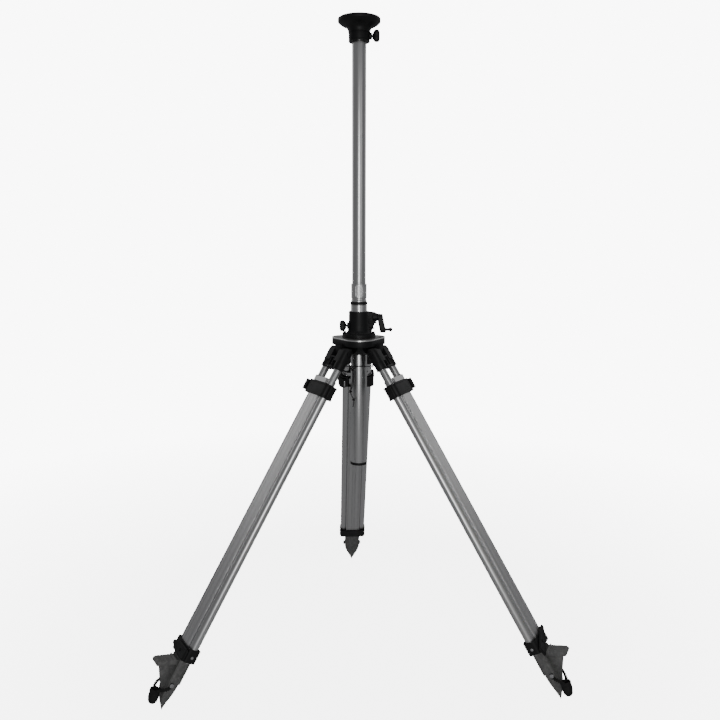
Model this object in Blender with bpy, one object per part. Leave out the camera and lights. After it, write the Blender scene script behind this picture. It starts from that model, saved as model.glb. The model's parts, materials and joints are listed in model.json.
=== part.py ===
"""Elevating tripod for a laser level, built as one assembly of named parts.

Lengths in the constants are millimetres, the scene is in metres, +Z is up.
Leg pieces use leg coordinates: s across the leg, t outwards from the leg,
l upwards along the leg, measured from where the leg axis meets the ground.
"""
import math

import bmesh
import bpy
import numpy as np
from mathutils import Matrix, Vector

MM = 0.001
COLUMN_X = 5.0               # column axis, measured from the middle of the footprint
COLUMN_Y = -162.6

# column
TUBE_R = 25.0                # outer column tube
TUBE_WALL = 2.0
TUBE_BOTTOM = 620.0
TUBE_TOP = 1117.0
INNER_R = 20.7               # inner column tube
INNER_WALL = 2.0
INNER_BOTTOM = 1030.0
INNER_TOP = 1911.0
PLATE_TOP = 1930.0
PLATE_R = 61.0
NECK_R = 30.5
STUD_R = 7.94                # 5/8 inch instrument thread
KNOB_R = 17.5

# gear drive
GEAR_MODULE = 2.0
GEAR_TEETH = 12
PINION_Y = 41.0
PINION_Z = 1076.0
RACK_BOTTOM = 785.0
RACK_TOP = 1085.0
ARM_LENGTH = 39.0

# head
HEAD_TOP = 1018.5
RIM_BOTTOM = 996.5
HEAD_BOTTOM = 970.0
HOUSING_TOP = 1098.0
FLAT_R = 67.0                # distance of the three flats from the column axis
FLAT_HALF = 42.0
SIDE_R = 88.0
BOWL_FLAT_R = 47.0

# legs
LEG_AZIMUTHS = (210.0, 330.0, 90.0)
LEVER_SIDES = (-1.0, 1.0, 1.0)
LEVER_ANGLES = (0.0, math.radians(27.0), 0.0)
CLAMP_REACH = (63.0, 58.5, 56.0)
LEG_TILT = math.radians(32.27)
GROUND_R = 683.5
HINGE_L = 1155.0
TUBE_SPACING = 34.5          # leg tubes, left and right of the leg axis
LEG_TUBE_R = 11.65
LOBE_R = 13.0
BORE_R = 12.0
PANEL_HALF = 26.0
PANEL_T = 16.5
CHANNEL_HALF = 21.2
CHANNEL_T = 14.8
UPPER_BAND = (1004.5, 1047.0)
LOWER_BAND = (170.5, 208.5)
TIP_L = 11.4
CAP_TILT = math.radians(15.0)
CAP_SHIFTS = (0.0, -20.0, 0.0)

# cord
CORD_R = 1.3
CORD_Y = -30.5
CORD_Z = 932.5
HOOK_X = 40.0
KNOT_X = -20.5


# ---------------------------------------------------------------- mesh helpers
def circle(radius, count, centre=(0.0, 0.0), start=0.0):
    angles = start + np.linspace(0.0, 2.0 * math.pi, count, endpoint=False)
    return [(centre[0] + radius * math.cos(a), centre[1] + radius * math.sin(a)) for a in angles]


def rounded_rectangle(half_w, half_h, radius, steps=5):
    points = []
    for quarter, (sx, sy) in enumerate(((1, 1), (-1, 1), (-1, -1), (1, -1))):
        for a in np.linspace(0.0, math.pi / 2.0, steps):
            angle = quarter * math.pi / 2.0 + a
            points.append((sx * (half_w - radius) + radius * math.cos(angle),
                           sy * (half_h - radius) + radius * math.sin(angle)))
    return points


def place(axis, a, b, depth):
    """Turn outline coordinates and a depth along the named axis into x, y, z."""
    if axis == "x":
        return (depth, a, b)
    if axis == "y":
        return (a, depth, b)
    return (a, b, depth)


def loft(sections):
    """Closed body through loops of equally many points."""
    count = len(sections[0])
    verts = [p for section in sections for p in section]
    faces = []
    for i in range(len(sections) - 1):
        for j in range(count):
            k = (j + 1) % count
            faces.append((i * count + j, i * count + k, (i + 1) * count + k, (i + 1) * count + j))
    faces.append(tuple(range(count)))
    faces.append(tuple((len(sections) - 1) * count + j for j in range(count)))
    return verts, faces


def prism(outline, start, end, axis="z"):
    return loft([[place(axis, a, b, d) for a, b in outline] for d in (start, end)])


def box(x0, x1, y0, y1, z0, z1):
    return prism([(x0, y0), (x1, y0), (x1, y1), (x0, y1)], z0, z1)


def lathe(profile, segments, axis="z"):
    """Turn a closed profile of (radius, height) points around the named axis."""
    verts = []
    rings = []
    for radius, height in profile:
        if radius < 1e-6:
            rings.append([len(verts)] * segments)
            verts.append(place(axis, 0.0, 0.0, height))
        else:
            rings.append([len(verts) + j for j in range(segments)])
            verts.extend(place(axis, a, b, height) for a, b in circle(radius, segments))
    faces = []
    for i in range(len(profile)):
        lower, upper = rings[i], rings[(i + 1) % len(profile)]
        for j in range(segments):
            k = (j + 1) % segments
            corners = []
            for v in (lower[j], lower[k], upper[k], upper[j]):
                if v not in corners:
                    corners.append(v)
            if len(corners) > 2:
                faces.append(tuple(corners))
    return verts, faces


def ring_body(outer, inner, start, end, axis="z"):
    """Body between two outlines of equally many points."""
    count = len(outer)
    verts = []
    for outline, depth in ((outer, start), (outer, end), (inner, end), (inner, start)):
        verts.extend(place(axis, a, b, depth) for a, b in outline)
    faces = []
    for i in range(4):
        lower, upper = i * count, ((i + 1) % 4) * count
        for j in range(count):
            k = (j + 1) % count
            faces.append((lower + j, lower + k, upper + k, upper + j))
    return verts, faces


def sweep(path, half_w, half_h, side):
    """Rectangular bar along a path; side is the direction of its width."""
    path = [Vector(p) for p in path]
    sections = []
    for i, point in enumerate(path):
        ahead = path[min(i + 1, len(path) - 1)] - path[max(i - 1, 0)]
        across = Vector(side)
        across -= ahead.normalized() * across.dot(ahead.normalized())
        across.normalize()
        up = ahead.normalized().cross(across)
        sections.append([tuple(point + across * (a * half_w) + up * (b * half_h))
                         for a, b in ((-1, -1), (1, -1), (1, 1), (-1, 1))])
    return loft(sections)


def add(name, geometry, material=None, parent=None, location=(0.0, 0.0, 0.0)):
    """Object from millimetre geometry, shaded smooth across shallow edges."""
    verts, faces = geometry
    mesh = bpy.data.meshes.new(name)
    mesh.from_pydata([tuple(c * MM for c in v) for v in verts], [], faces)
    bm = bmesh.new()
    bm.from_mesh(mesh)
    bmesh.ops.recalc_face_normals(bm, faces=bm.faces)
    bm.to_mesh(mesh)
    bm.free()
    obj = bpy.data.objects.new(name, mesh)
    bpy.context.scene.collection.objects.link(obj)
    obj.parent = parent
    obj.location = [c * MM for c in location]
    if material is not None:
        mesh.materials.append(material)
    shade(obj)
    return obj


def shade(obj):
    mesh = obj.data
    mesh.polygons.foreach_set("use_smooth", [True] * len(mesh.polygons))
    mesh.set_sharp_from_angle(angle=math.radians(35.0))


def combine(obj, geometry, operation):
    """Join to, cut from or intersect with the object, in its own coordinates."""
    tool = add("tool", geometry, None, obj.parent)
    tool.location = obj.location
    modifier = obj.modifiers.new("combine", "BOOLEAN")
    modifier.operation = operation
    modifier.solver = "EXACT"
    modifier.object = tool
    bpy.context.view_layer.update()
    evaluated = obj.evaluated_get(bpy.context.evaluated_depsgraph_get())
    result = bpy.data.meshes.new_from_object(evaluated)
    bm = bmesh.new()
    bm.from_mesh(result)
    bmesh.ops.remove_doubles(bm, verts=bm.verts, dist=2e-6)
    bmesh.ops.dissolve_degenerate(bm, edges=bm.edges, dist=2e-6)
    bm.to_mesh(result)
    bm.free()
    obj.modifiers.remove(modifier)
    old = obj.data
    obj.data = result
    result.name = obj.name
    bpy.data.meshes.remove(old)
    tool_mesh = tool.data
    bpy.data.objects.remove(tool)
    bpy.data.meshes.remove(tool_mesh)
    shade(obj)


def material(name, colour, roughness, metallic):
    mat = bpy.data.materials.new(name)
    mat.use_nodes = True
    shader = mat.node_tree.nodes["Principled BSDF"]
    shader.inputs["Base Color"].default_value = (*colour, 1.0)
    shader.inputs["Roughness"].default_value = roughness
    shader.inputs["Metallic"].default_value = metallic
    return mat


def black(name):
    return material(name, (0.02, 0.02, 0.021), 0.5, 0.0)


def aluminium(name):
    return material(name, (0.62, 0.63, 0.64), 0.35, 1.0)


def steel(name):
    return material(name, (0.55, 0.55, 0.56), 0.25, 1.0)


def rubber(name):
    return material(name, (0.015, 0.015, 0.015), 0.8, 0.0)


def empty(name, location, parent=None):
    obj = bpy.data.objects.new(name, None)
    obj.empty_display_size = 0.05
    bpy.context.scene.collection.objects.link(obj)
    obj.parent = parent
    obj.location = [c * MM for c in location]
    return obj


# ---------------------------------------------------------------- top of the column
def wing_knob(name, stem_r, stem_start, body_start, direction, parent, location):
    """Three-lobed knob with its threaded stem, turning about the x axis."""
    def section(scale, depth):
        points = []
        for a in np.linspace(0.0, 2.0 * math.pi, 24, endpoint=False):
            radius = scale * KNOB_R * (0.86 + 0.14 * math.cos(3.0 * a))
            points.append((direction * depth, radius * math.cos(a), radius * math.sin(a)))
        return points
    rows = ((0.32, 0.0), (0.42, 1.5), (0.88, 5.5), (1.0, 9.0), (0.98, 14.5), (0.8, 18.5), (0.45, 20.5))
    obj = add(name, loft([section(scale, body_start + depth) for scale, depth in rows]),
              black(name), parent, location)
    ends = sorted((direction * stem_start, direction * (body_start + 4.0)))
    combine(obj, prism(circle(stem_r, 16), ends[0], ends[1], "x"), "UNION")
    return obj


def mounting_plate(parent):
    profile = [(8.4, PLATE_TOP), (59.5, PLATE_TOP), (PLATE_R, 1928.5), (PLATE_R, 1921.0),
               (53.0, 1914.0), (41.0, 1908.5), (34.0, 1902.5), (31.0, 1896.0),
               (NECK_R, 1880.0), (NECK_R, 1870.0), (29.0, 1867.5), (21.2, 1867.5),
               (21.2, 1915.5), (8.4, 1915.5)]
    obj = add("mounting_plate", lathe(profile, 32), black("mounting_plate"), parent)
    combine(obj, prism(circle(4.4, 12, (0.0, 1884.0)), 15.0, 40.0, "x"), "DIFFERENCE")
    return obj


def instrument_stud(parent):
    profile = [(0.0, 1911.6), (14.0, 1911.6), (14.0, 1915.1), (STUD_R, 1915.1),
               (STUD_R, 1943.0), (6.6, 1944.6), (0.0, 1944.6)]
    return add("instrument_stud", lathe(profile, 24), steel("instrument_stud"), parent)


def tube(name, outer_r, inner_r, bottom, top, segments, mat, parent, location=(0.0, 0.0, 0.0)):
    return add(name, ring_body(circle(outer_r, segments), circle(inner_r, segments), bottom, top),
               mat, parent, location)


def collar_fittings(parent):
    nut = [(21.3, 1181.0), (23.0, 1181.0), (23.75, 1180.0), (23.75, 1139.0), (23.2, 1138.0),
           (22.9, 1138.0), (22.9, 1167.0), (21.3, 1167.0)]
    add("collar_nut", lathe(nut, 28), aluminium("collar_nut"), parent)
    collet = [(21.2, 1095.0), (22.6, 1095.0), (22.6, 1117.4), (24.8, 1117.4), (24.8, 1119.0),
              (23.2, 1119.0), (23.2, 1126.8), (23.75, 1128.0), (23.6, 1131.0), (22.2, 1134.0),
              (22.2, 1137.0), (22.5, 1139.0), (22.5, 1165.0), (21.2, 1165.0)]
    add("collet", lathe(collet, 28), aluminium("collet"), parent)
    tube("wiper_ring", 26.0, 23.6, 1119.4, 1126.4, 28, black("wiper_ring"), parent)


def gear_rack(parent):
    """Toothed strip behind the outer tube, one gap opposite the pinion axis."""
    pitch = math.pi * GEAR_MODULE
    line = PINION_Y - 0.5 * GEAR_MODULE * GEAR_TEETH
    back, root, crest = TUBE_R + 0.3, line - 1.2 * GEAR_MODULE, line + GEAR_MODULE
    outline = [(back, RACK_TOP), (back, RACK_BOTTOM), (root, RACK_BOTTOM)]
    centre = PINION_Z + pitch * (math.ceil((RACK_BOTTOM - PINION_Z) / pitch) + 0.5)
    while centre < RACK_TOP - 0.5 * pitch:
        outline += [(root, centre - 1.85), (crest, centre - 0.62),
                    (crest, centre + 0.62), (root, centre + 1.85)]
        centre += pitch
    outline.append((root, RACK_TOP))
    return add("gear_rack", prism(outline, -4.0, 4.0, "x"), steel("gear_rack"), parent)


def bottom_cap(parent):
    profile = [(0.0, 616.5), (25.6, 616.5), (26.3, 617.5), (26.3, 624.0), (25.4, 624.0),
               (25.4, 619.6), (0.0, 619.6)]
    return add("bottom_cap", lathe(profile, 36), black("bottom_cap"), parent)


# ---------------------------------------------------------------- head
def rack_slot(z0, z1):
    return box(-4.7, 4.7, 15.0, 31.7, z0, z1)


def column_housing(parent):
    profile = [(0.0, HOUSING_TOP), (29.0, HOUSING_TOP), (30.0, 1096.5), (32.0, 1055.0),
               (35.0, 1036.0), (40.0, 1031.0), (50.0, 1030.0), (51.0, 1029.0), (51.0, 1018.9),
               (0.0, 1018.9)]
    obj = add("column_housing", lathe(profile, 36), black("column_housing"), parent)
    block = [(-18.0, 1092.0), (30.0, 1095.5), (54.0, 1090.0), (56.5, 1085.0), (56.5, 1064.0),
             (52.0, 1058.0), (43.0, 1033.0), (38.0, 1022.0), (-18.0, 1022.0)]
    combine(obj, prism(block, 18.0, 57.0, "y"), "UNION")
    for azimuth in (170.0, 260.0, 350.0):
        a = math.radians(azimuth)
        boss = prism(circle(7.0, 12, (44.0 * math.cos(a), 44.0 * math.sin(a))), 1020.0, 1033.0)
        combine(obj, boss, "UNION")
    combine(obj, prism(circle(TUBE_R + 0.5, 36), 1010.0, 1110.0), "DIFFERENCE")
    combine(obj, rack_slot(1010.0, 1110.0), "DIFFERENCE")
    chamber = prism(circle(15.0, 20, (PINION_Y, PINION_Z)), -8.0, 8.0, "x")
    combine(obj, chamber, "DIFFERENCE")
    bearing = prism(circle(5.5, 14, (PINION_Y, PINION_Z)), 0.0, 70.0, "x")
    combine(obj, bearing, "DIFFERENCE")
    combine(obj, prism(circle(4.2, 12, (0.0, 1054.0)), -45.0, -15.0, "x"), "DIFFERENCE")
    return obj


def pinion(parent):
    """Gear with its shaft along x; a tooth points at the rack."""
    outline = []
    pitch_r = 0.5 * GEAR_MODULE * GEAR_TEETH
    for i in range(GEAR_TEETH):
        a = -math.pi + i * 2.0 * math.pi / GEAR_TEETH
        for radius, shift in ((pitch_r - 2.5, -2.0), (pitch_r, -1.3), (pitch_r + 1.9, -0.6),
                              (pitch_r + 1.9, 0.6), (pitch_r, 1.3), (pitch_r - 2.5, 2.0)):
            outline.append((radius * math.cos(a + shift / radius),
                            radius * math.sin(a + shift / radius)))
    location = (0.0, PINION_Y, PINION_Z)
    obj = add("pinion", prism(outline, -6.0, 6.0, "x"), steel("pinion"), parent, location)
    combine(obj, prism(circle(5.0, 14), 4.0, 68.0, "x"), "UNION")
    return obj


def crank(parent):
    """Crank arm hanging down from the shaft and its turning handle."""
    count = 12
    outline = [(10.0 * math.cos(a), 10.0 * math.sin(a)) for a in np.linspace(0.0, math.pi, count)]
    outline += [(7.5 * math.cos(a), -ARM_LENGTH + 7.5 * math.sin(a))
                for a in np.linspace(math.pi, 2.0 * math.pi, count)]
    sections = []
    for depth in (58.5, 73.5):
        sections.append([(depth + 9.0 * min(1.0, max(0.0, -z / ARM_LENGTH)), y, z)
                         for y, z in outline])
    location = (0.0, PINION_Y, PINION_Z)
    arm = add("crank_arm", loft(sections), black("crank_arm"), parent, location)
    combine(arm, prism(circle(5.5, 14), 50.0, 68.4, "x"), "DIFFERENCE")
    pin_hole = prism(circle(3.1, 12, (0.0, -ARM_LENGTH)), 75.5, 95.0, "x")
    combine(arm, pin_hole, "DIFFERENCE")
    profile = [(0.0, 76.0), (2.6, 76.0), (2.6, 83.4), (4.4, 83.4), (4.0, 87.0), (3.5, 91.0),
               (3.7, 94.5), (5.2, 96.8), (6.0, 100.0), (5.2, 104.0), (2.8, 106.4), (0.0, 107.0)]
    add("crank_handle", lathe(profile, 16, "x"), black("crank_handle"), parent,
        (0.0, PINION_Y, PINION_Z - ARM_LENGTH))


def leg_axes(azimuth):
    a = math.radians(azimuth)
    radial = Vector((math.cos(a), math.sin(a), 0.0))
    across = Vector((-math.sin(a), math.cos(a), 0.0))
    upward = radial * -math.sin(LEG_TILT) + Vector((0.0, 0.0, math.cos(LEG_TILT)))
    outward = radial * math.cos(LEG_TILT) + Vector((0.0, 0.0, math.sin(LEG_TILT)))
    return radial, across, upward, outward


def hinge_point(azimuth):
    radial, across, upward, outward = leg_axes(azimuth)
    return radial * GROUND_R + upward * HINGE_L


def head_outline(flat_r, flat_half, side_r, z):
    """Three flats joined by bulged sides."""
    points = []
    corner_r = math.hypot(flat_r, flat_half)
    corner_a = math.atan2(flat_half, flat_r)
    for azimuth in LEG_AZIMUTHS[::-1]:
        base = math.radians(azimuth - 120.0)
        start = base - math.radians(60.0) + corner_a - math.radians(60.0)
        for f in np.linspace(0.0, 1.0, 9):
            a = start + f * (math.radians(120.0) - 2.0 * corner_a)
            radius = corner_r + (side_r - corner_r) * math.sin(math.pi * f)
            points.append((a, radius))
    points.sort(key=lambda p: p[0] % (2.0 * math.pi))
    return [(r * math.cos(a), r * math.sin(a), z) for a, r in points]


def tripod_head(parent):
    rim = [head_outline(FLAT_R, FLAT_HALF, SIDE_R, z) for z in (RIM_BOTTOM, HEAD_TOP)]
    obj = add("tripod_head", loft(rim), black("tripod_head"), parent)
    bowl = []
    for radius, z in ((50.0, HEAD_BOTTOM), (62.0, 975.0), (76.0, 985.0), (84.0, 995.0), (84.0, 1004.0)):
        bowl.append(head_outline(BOWL_FLAT_R, math.sqrt(radius ** 2 - BOWL_FLAT_R ** 2), radius, z))
    combine(obj, loft(bowl), "UNION")
    for azimuth in LEG_AZIMUTHS:
        hinge = hinge_point(azimuth)
        radial, across, upward, outward = leg_axes(azimuth)
        r = Vector((hinge.x, hinge.y, 0.0)).length
        outline = [(38.0, 1001.0), (r + 11.5, 1001.0), (r + 11.5, hinge.z)]
        outline += [(r + 11.5 * math.cos(a), hinge.z - 11.5 * math.sin(a))
                    for a in np.linspace(0.3, math.pi - 0.6, 7)]
        outline.append((38.0, 985.0))
        lug = [[tuple(radial * a + across * side + Vector((0.0, 0.0, b))) for a, b in outline]
               for side in (-12.5, 12.5)]
        combine(obj, loft(lug), "UNION")
        bore = [[tuple(radial * (r + a) + across * side + Vector((0.0, 0.0, hinge.z + b)))
                 for a, b in circle(4.95, 12)] for side in (-30.0, 30.0)]
        combine(obj, loft(bore), "DIFFERENCE")
    combine(obj, prism(circle(TUBE_R + 0.5, 36), 950.0, 1040.0), "DIFFERENCE")
    combine(obj, rack_slot(950.0, 1040.0), "DIFFERENCE")
    return obj


def cord_hook(name, side, parent):
    """Rod from under the head, ending in a ring for the cord."""
    obj = add(name, lathe([(3.0, -1.6), (5.6, -1.6), (5.6, 1.6), (3.0, 1.6)], 16, "x"),
              steel(name), parent, (side * HOOK_X, CORD_Y, CORD_Z))
    path = [(side * (a - HOOK_X), b - CORD_Y, c - CORD_Z)
            for a, b, c in ((34.0, -18.5, 969.4), (34.5, -20.0, 960.0), (38.0, -27.5, 948.0),
                            (40.0, -30.5, 940.0), (40.0, -30.5, 937.1))]
    combine(obj, sweep(path, 1.5, 1.5, (1.0, 0.0, 0.0)), "UNION")
    return obj


# ---------------------------------------------------------------- legs
def leg_frame(name, azimuth, parent):
    """Empty on the hinge: x across the leg, -y outwards, z up along the leg."""
    radial, across, upward, outward = leg_axes(azimuth)
    frame = empty(name, hinge_point(azimuth), parent)
    matrix = Matrix((across, -outward, upward)).transposed().to_4x4()
    frame.rotation_euler = matrix.to_euler()
    return frame


def along(l):
    return l - HINGE_L


def leg_head(tag, frame):
    name = "leg_head_" + tag
    low, bridge, top = 1098.5, 1137.0, 1171.5
    front = [(-51.5, along(low)), (51.5, along(low)), (51.5, along(top)), (13.2, along(top)),
             (13.2, along(bridge)), (-13.2, along(bridge)), (-13.2, along(top)),
             (-51.5, along(top))]
    obj = add(name, prism(front, -16.5, 16.5, "y"), black(name), frame)
    side = [(-16.5, along(low - 1.0)), (16.5, along(low - 1.0))]
    side += [(16.5 * math.cos(a), 16.5 * math.sin(a)) for a in np.linspace(0.0, math.pi, 13)]
    combine(obj, prism(side, -60.0, 60.0, "x"), "INTERSECT")
    combine(obj, prism(rounded_rectangle(51.5, 16.5, 15.5, 6), along(low - 5.0), 20.0), "INTERSECT")
    for sign in (-1.0, 1.0):
        socket = circle(LEG_TUBE_R + 0.4, 20, (sign * TUBE_SPACING, 0.0))
        combine(obj, prism(socket, along(low - 5.0), along(1137.5)), "DIFFERENCE")
    combine(obj, prism(circle(4.95, 12), -60.0, 60.0, "x"), "DIFFERENCE")
    pin = "hinge_pin_" + tag
    profile = [(0.0, -55.5), (7.0, -55.5), (7.0, -51.9), (4.4, -51.9), (4.4, 51.9), (7.0, 51.9),
               (7.0, 55.5), (0.0, 55.5)]
    add(pin, lathe(profile, 16, "x"), steel(pin), frame)


def section_outline():
    """Outer profile of the middle section: flat box with a round lobe at each side."""
    reach = math.acos((PANEL_HALF - TUBE_SPACING) / LOBE_R)
    points = []
    for sign in (1.0, -1.0):
        for a in np.linspace(-reach, reach, 13):
            points.append((sign * (TUBE_SPACING + LOBE_R * math.cos(a)), sign * LOBE_R * math.sin(a)))
        points += [(sign * PANEL_HALF, sign * (PANEL_T - 1.0)),
                   (sign * (PANEL_HALF - 1.0), sign * PANEL_T),
                   (sign * (1.0 - PANEL_HALF), sign * PANEL_T),
                   (sign * -PANEL_HALF, sign * (PANEL_T - 1.0))]
    return points


def middle_section(tag, frame):
    name = "middle_section_" + tag
    obj = add(name, prism(section_outline(), along(168.5), along(1049.0)), aluminium(name), frame)
    combine(obj, box(-33.5, 33.5, -20.0, PANEL_T, along(1047.6), along(1065.0)), "UNION")
    for sign in (-1.0, 1.0):
        bore = circle(BORE_R, 20, (sign * TUBE_SPACING, 0.0))
        combine(obj, prism(bore, along(160.0), along(1070.0)), "DIFFERENCE")
    combine(obj, box(-CHANNEL_HALF, CHANNEL_HALF, -CHANNEL_T, CHANNEL_T, along(160.0), along(1070.0)),
            "DIFFERENCE")


def leg_tubes(tag, frame):
    for letter, sign in (("a", -1.0), ("b", 1.0)):
        name = "top_tube_%s_%s" % (letter, tag)
        tube(name, LEG_TUBE_R, LEG_TUBE_R - 1.6, 330.0 - HINGE_L, along(1137.0), 20, aluminium(name),
             frame, (sign * TUBE_SPACING, 0.0, 0.0))


def upper_clamp(tag, side, reach, frame):
    """Band open on the inner side, with a thicker end opposite the lever."""
    name = "upper_clamp_" + tag
    outer = rounded_rectangle(56.0, 21.5, 14.0)
    inner = rounded_rectangle(47.9, 17.0, 12.0)
    low, high = along(UPPER_BAND[0]), along(UPPER_BAND[1])
    obj = add(name, ring_body(outer, inner, low, high), black(name), frame)
    if reach > 56.0:
        end = box(*sorted((-side * 55.0, -side * reach)), -9.0, 11.0, low + 3.0, high - 3.0)
        combine(obj, end, "UNION")
    gap = sorted((-side * 27.0, side * 29.0))
    combine(obj, box(gap[0], gap[1], 14.0, 30.0, low - 5.0, high + 5.0), "DIFFERENCE")
    name = "upper_lever_" + tag
    outline = [(-3.0, -3.9), (8.0, -4.4), (14.6, -12.7), (14.6, -48.5), (16.5, -51.7),
               (21.5, -51.7), (22.5, -50.0), (22.5, -36.0), (20.2, -31.0), (19.4, -12.0),
               (14.0, 0.4), (8.0, 4.3), (-2.0, 4.3), (-4.6, 1.0)]
    lever = prism([(side * a, b) for a, b in outline], -17.0, 17.0)
    add(name, lever, black(name), frame, (side * 42.0, 26.7, along(1027.0)))


def lower_clamp(tag, side, angle, frame):
    name = "lower_clamp_" + tag
    outer = rounded_rectangle(50.4, 20.0, 13.0)
    inner = rounded_rectangle(47.9, 17.0, 12.0)
    low, high = along(LOWER_BAND[0]), along(LOWER_BAND[1])
    obj = add(name, ring_body(outer, inner, low, high), black(name), frame)
    pivot = prism(circle(5.0, 12, (side * -8.0, along(187.0))), -26.0, -19.0, "y")
    combine(obj, pivot, "UNION")
    name = "lower_lever_" + tag
    outline = [(-42.0, -12.0), (-38.0, -16.0), (20.0, -16.0), (36.0, -9.0), (54.0, -5.0),
               (58.0, 0.0), (54.0, 6.0), (38.0, 10.0), (22.0, 17.0), (-38.0, 17.0), (-42.0, 13.0)]
    c, s = math.cos(angle), math.sin(angle)
    sections = [[(side * scale * (a * c - b * s), depth, scale * (a * s + b * c)) for a, b in outline]
                for depth, scale in ((-20.4, 1.0), (-24.0, 1.0), (-28.0, 0.84))]
    lever = add(name, loft(sections), black(name), frame, (side * -8.0, 0.0, along(187.0)))
    combine(lever, prism(circle(5.4, 12), -30.0, -18.0, "y"), "DIFFERENCE")


def foot_section(tag, frame):
    """Stem inside the middle section, and the cast foot with tread and spike."""
    name = "foot_" + tag

    def blade(half, t0, t1, l):
        return [(-half, -t0, along(l)), (half, -t0, along(l)), (half, -t1, along(l)),
                (-half, -t1, along(l))]
    rows = ((29.0, -14.5, 14.5, 166.0), (29.0, -14.5, 14.5, 96.0), (21.0, -15.6, 13.0, 62.0),
            (11.0, -16.8, 2.0, 38.0), (0.9, -18.0, -16.9, TIP_L))
    obj = add(name, loft([blade(*row) for row in rows]), material(name, (0.09, 0.09, 0.09), 0.6, 0.3),
              frame)
    stem = box(-20.6, 20.6, -14.2, 14.2, along(160.0), along(760.0))
    combine(obj, stem, "UNION")
    web = [(-8.0, along(155.0)), (-58.0, along(138.0)), (-59.0, along(132.0)), (-32.0, along(90.0)),
           (-10.0, along(57.0)), (-2.0, along(60.0))]
    combine(obj, prism(web, -6.0, 6.0, "x"), "UNION")
    tread = [(-10.0, along(146.0)), (-28.0, along(148.0)), (-66.0, along(126.5)),
             (-72.0, along(126.5)), (-75.0, along(130.5)), (-73.0, along(134.5))]
    for i in range(8):
        t = 70.0 - 5.2 * i
        l = 154.5 / math.cos(LEG_TILT) - t * math.tan(LEG_TILT)
        tread += [(-t, along(l)), (-(t - 2.6), along(l))]
    tread += [(-28.8, along(164.0)), (-28.8, along(161.5)), (-10.0, along(161.5))]
    combine(obj, prism(tread, -20.0, 20.0, "x"), "UNION")
    combine(obj, box(-18.6, 18.6, -12.2, 12.2, along(200.0), along(770.0)), "DIFFERENCE")
    hole = [[(side, -7.5 + a, along(94.0) + b) for a, b in circle(3.05, 10)] for side in (-40.0, 40.0)]
    combine(obj, loft(hole), "DIFFERENCE")


def rubber_cap(tag, shift, frame):
    """Cap for the spike, hanging beside it on a strap with two arms."""
    name = "rubber_cap_" + tag
    profile = [(10.5, 64.0), (14.6, 64.0), (15.0, 62.0), (15.0, 40.0), (13.0, 29.0), (8.5, 22.5),
               (0.0, 20.0), (0.0, 28.0), (8.0, 32.0), (10.5, 42.0)]
    verts, faces = lathe(profile, 16)
    c, s = math.cos(CAP_TILT), math.sin(CAP_TILT)
    moved = [(x + shift, -31.0 + y * c - (z - 62.0) * s, along(62.0) + y * s + (z - 62.0) * c)
             for x, y, z in verts]
    obj = add(name, (moved, faces), rubber(name), frame)
    for sign in (-1.0, 1.0):
        route = ((31.2, 0.0, 8.0, 100.0), (31.2, 0.0, 8.0, 88.0), (31.2, 0.1, 14.0, 81.0),
                 (27.5, 0.35, 21.0, 75.0), (20.5, 0.7, 27.0, 69.0), (14.2, 1.0, 30.0, 57.0))
        path = [(sign * a + shift * f, -b, along(c)) for a, f, b, c in route]
        combine(obj, sweep(path, 1.4, 4.5, (1.0, 0.0, 0.0)), "UNION")
    hole = [[(side, -7.5 + a, along(94.0) + b) for a, b in circle(3.05, 10)] for side in (-40.0, 40.0)]
    combine(obj, loft(hole), "DIFFERENCE")
    name = "strap_screw_" + tag
    profile = [(0.0, -36.0), (4.5, -36.0), (6.0, -34.5), (6.0, -33.1), (2.5, -33.1), (2.5, 33.1),
               (6.0, 33.1), (6.0, 34.5), (4.5, 36.0), (0.0, 36.0)]
    add(name, lathe(profile, 14, "x"), steel(name), frame, (0.0, -7.5, along(94.0)))


# ---------------------------------------------------------------- cord
def cord(name, points, parent):
    curve = bpy.data.curves.new(name, "CURVE")
    curve.dimensions = "3D"
    curve.bevel_depth = CORD_R * MM
    curve.bevel_resolution = 2
    curve.use_fill_caps = True
    spline = curve.splines.new("POLY")
    spline.points.add(len(points) - 1)
    for target, point in zip(spline.points, points):
        target.co = (*[c * MM for c in point], 1.0)
    curve.materials.append(material(name, (0.02, 0.02, 0.02), 0.9, 0.0))
    obj = bpy.data.objects.new(name, curve)
    bpy.context.scene.collection.objects.link(obj)
    obj.parent = parent
    return obj


def smooth_path(route, count):
    """Even points on a smooth curve through hand-chosen points."""
    route = np.array(route)
    knots = np.concatenate([[0.0], np.cumsum(np.linalg.norm(np.diff(route, axis=0), axis=1))])
    padded = np.vstack([2 * route[0] - route[1], route, 2 * route[-1] - route[-2]])
    points = []
    for u in np.linspace(0.0, knots[-1], count):
        i = int(min(np.searchsorted(knots, u, side="right") - 1, len(route) - 2))
        f = (u - knots[i]) / (knots[i + 1] - knots[i])
        p0, p1, p2, p3 = padded[i:i + 4]
        points.append(0.5 * ((2 * p1) + (p2 - p0) * f + (2 * p0 - 5 * p1 + 4 * p2 - p3) * f ** 2
                             + (3 * p1 - p0 - 3 * p2 + p3) * f ** 3))
    return points


def knot(name, location, parent):
    profile = [(0.0, -3.4), (2.4, -2.6), (3.4, 0.0), (2.4, 2.6), (0.0, 3.4)]
    return add(name, lathe(profile, 12), material(name, (0.02, 0.02, 0.02), 0.9, 0.0), parent, location)


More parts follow.
